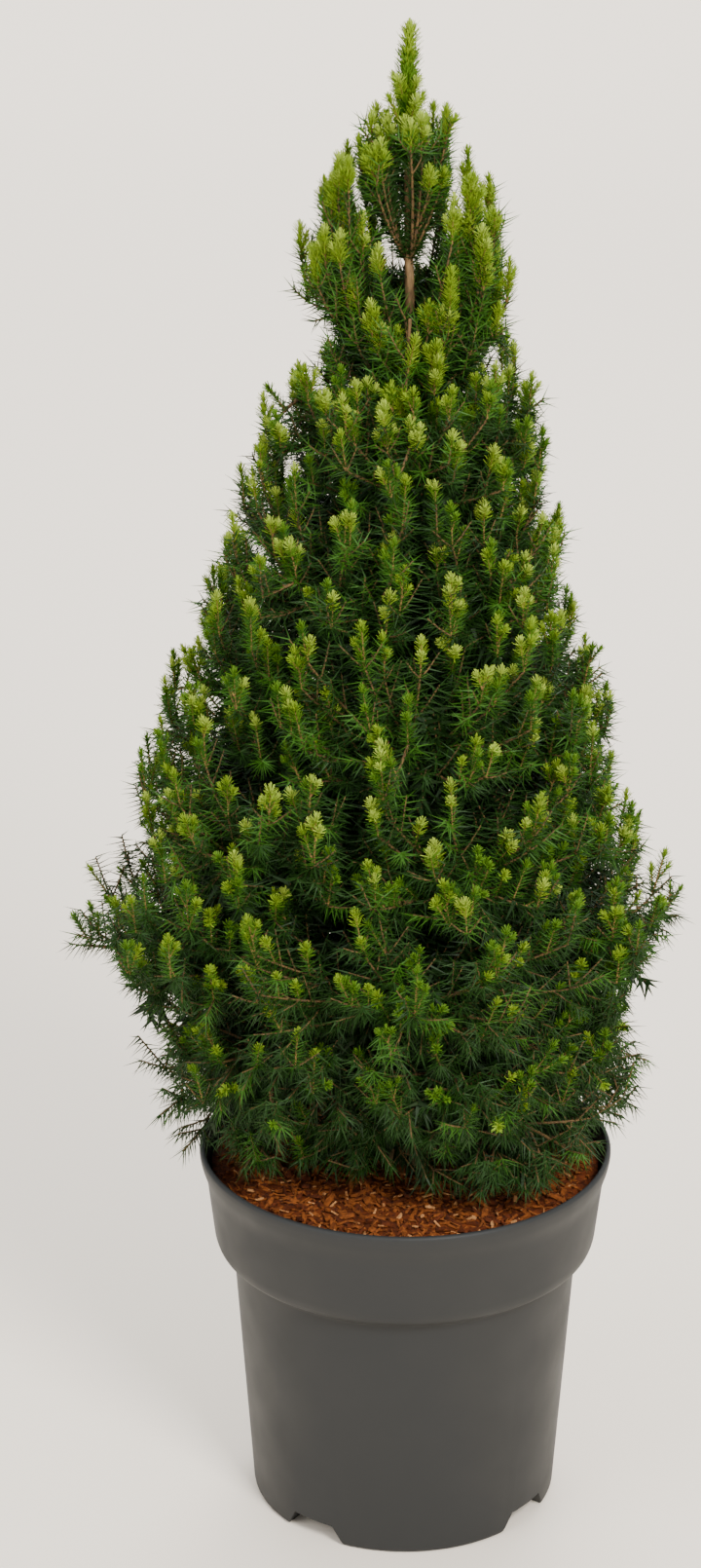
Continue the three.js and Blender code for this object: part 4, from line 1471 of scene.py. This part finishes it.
class SPRUCE_OT_twigs(bpy.types.Operator):
    """Grows the stems and twigs of every foliage mass"""

    bl_idname = "spruce.twigs"
    bl_label = "Grow twigs"

    def execute(self, context):
        tree = twig_tree()
        barks = {
            "old_bark": fibrous_material("Brown twig bark", 0x6E5228, 0x42301A, TWIG_BARK),
            "young_bark": fibrous_material("Tan shoot bark", 0x94703C, 0x6E4E28, SHOOT_BARK),
        }
        for (band, kind), lines in grown_crown().lines.items():
            if kind not in barks:
                continue
            name = f"{band}_{'twigs' if kind == 'old_bark' else 'shoots'}"
            values = {"Sides": 4 if kind == "old_bark" else 3, "Material": barks[kind]}
            twigs = apply_tree(name, skeleton(name, lines), tree, values)
            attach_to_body(twigs, "root")
        return {"FINISHED"}


# Needles

class NeedleSettings(bpy.types.PropertyGroup):
    """The needles of the whole crown."""

    length: FloatProperty(name="Length", description="Factor on every needle's length", default=1.0)
    width: FloatProperty(name="Width", description="Factor on every needle's width", default=1.0)
    spacing: FloatProperty(name="Spacing", description="Factor on the needles' spacing", default=1.0)
    seed: IntProperty(name="Seed", description="Seed of the needles' unevenness", default=3)


class SPRUCE_OT_needles(bpy.types.Operator):
    """Sets the needles on every twig, each tone in a colour of its own: ages of needle, and painted shade and
    light
    """

    bl_idname = "spruce.needles"
    bl_label = "Grow needles"

    def execute(self, context):
        settings = context.scene.spruce_needles
        tree = needle_tree()
        materials = {key: needle_material(tone) for key, tone in TONES.items()}
        shapes = {name: needle_shape(name, *form) for name, form in NEEDLE_SHAPES.items()}
        for (band, key), lines in grown_crown().lines.items():
            if key not in TONES:
                continue
            tone = TONES[key]
            name = f"{band}_{key}_needles"
            values = {
                "Spacing": settings.spacing,
                "Length": settings.length,
                "Width": settings.width,
                "Needle": shapes[tone.shape],
                "Lean Spread": math.radians(LEAN_SPREAD),
                "Length Spread": LENGTH_SPREAD,
                "Seed": settings.seed,
                "Material": materials[key],
            }
            needles = apply_tree(name, skeleton(name, lines), tree, values)
            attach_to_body(needles, "root")
            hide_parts(*band_nodes(band))
        for shape in shapes.values():
            bpy.data.objects.remove(shape)
        return {"FINISHED"}


def band_nodes(band):
    """The foliage nodes that a band of the crown stands for."""
    counts = {tier.name: tier.count for tier in TIERS}
    nodes = [f"{name}_foliage_{i + 1}" for name in BANDS[band] for i in range(counts[name])]
    return nodes + ["leader_foliage"] if band == "top" else nodes


class SPRUCE_PT_panel(bpy.types.Panel):
    """Lists the steps that dress the plant"""

    bl_label = "Potted dwarf spruce"
    bl_space_type = "VIEW_3D"
    bl_region_type = "UI"
    bl_category = "Spruce"

    def draw(self, context):
        for operator in OPERATORS:
            self.layout.operator(operator.bl_idname)
        for key, group in SETTINGS.items():
            box = self.layout.box()
            for name in group.__annotations__:
                box.prop(getattr(context.scene, key), name)


OPERATORS = (
    SPRUCE_OT_stage,
    SPRUCE_OT_pot,
    SPRUCE_OT_mulch,
    SPRUCE_OT_limbs,
    SPRUCE_OT_twigs,
    SPRUCE_OT_needles,
)
SETTINGS = {
    "spruce_stage": StageSettings,
    "spruce_pot": PotSettings,
    "spruce_mulch": MulchSettings,
    "spruce_bark": BarkSettings,
    "spruce_needles": NeedleSettings,
}


def register():
    for cls in (*SETTINGS.values(), *OPERATORS, SPRUCE_PT_panel):
        bpy.utils.register_class(cls)
    for key, group in SETTINGS.items():
        setattr(bpy.types.Scene, key, PointerProperty(type=group))


def unregister():
    for key in SETTINGS:
        delattr(bpy.types.Scene, key)
    for cls in reversed((*SETTINGS.values(), *OPERATORS, SPRUCE_PT_panel)):
        bpy.utils.unregister_class(cls)


def main():
    register()
    bpy.ops.spruce.stage()
    bpy.ops.spruce.pot()
    bpy.ops.spruce.mulch()
    bpy.ops.spruce.limbs()
    bpy.ops.spruce.twigs()
    bpy.ops.spruce.needles()


if __name__ == "__main__":
    main()
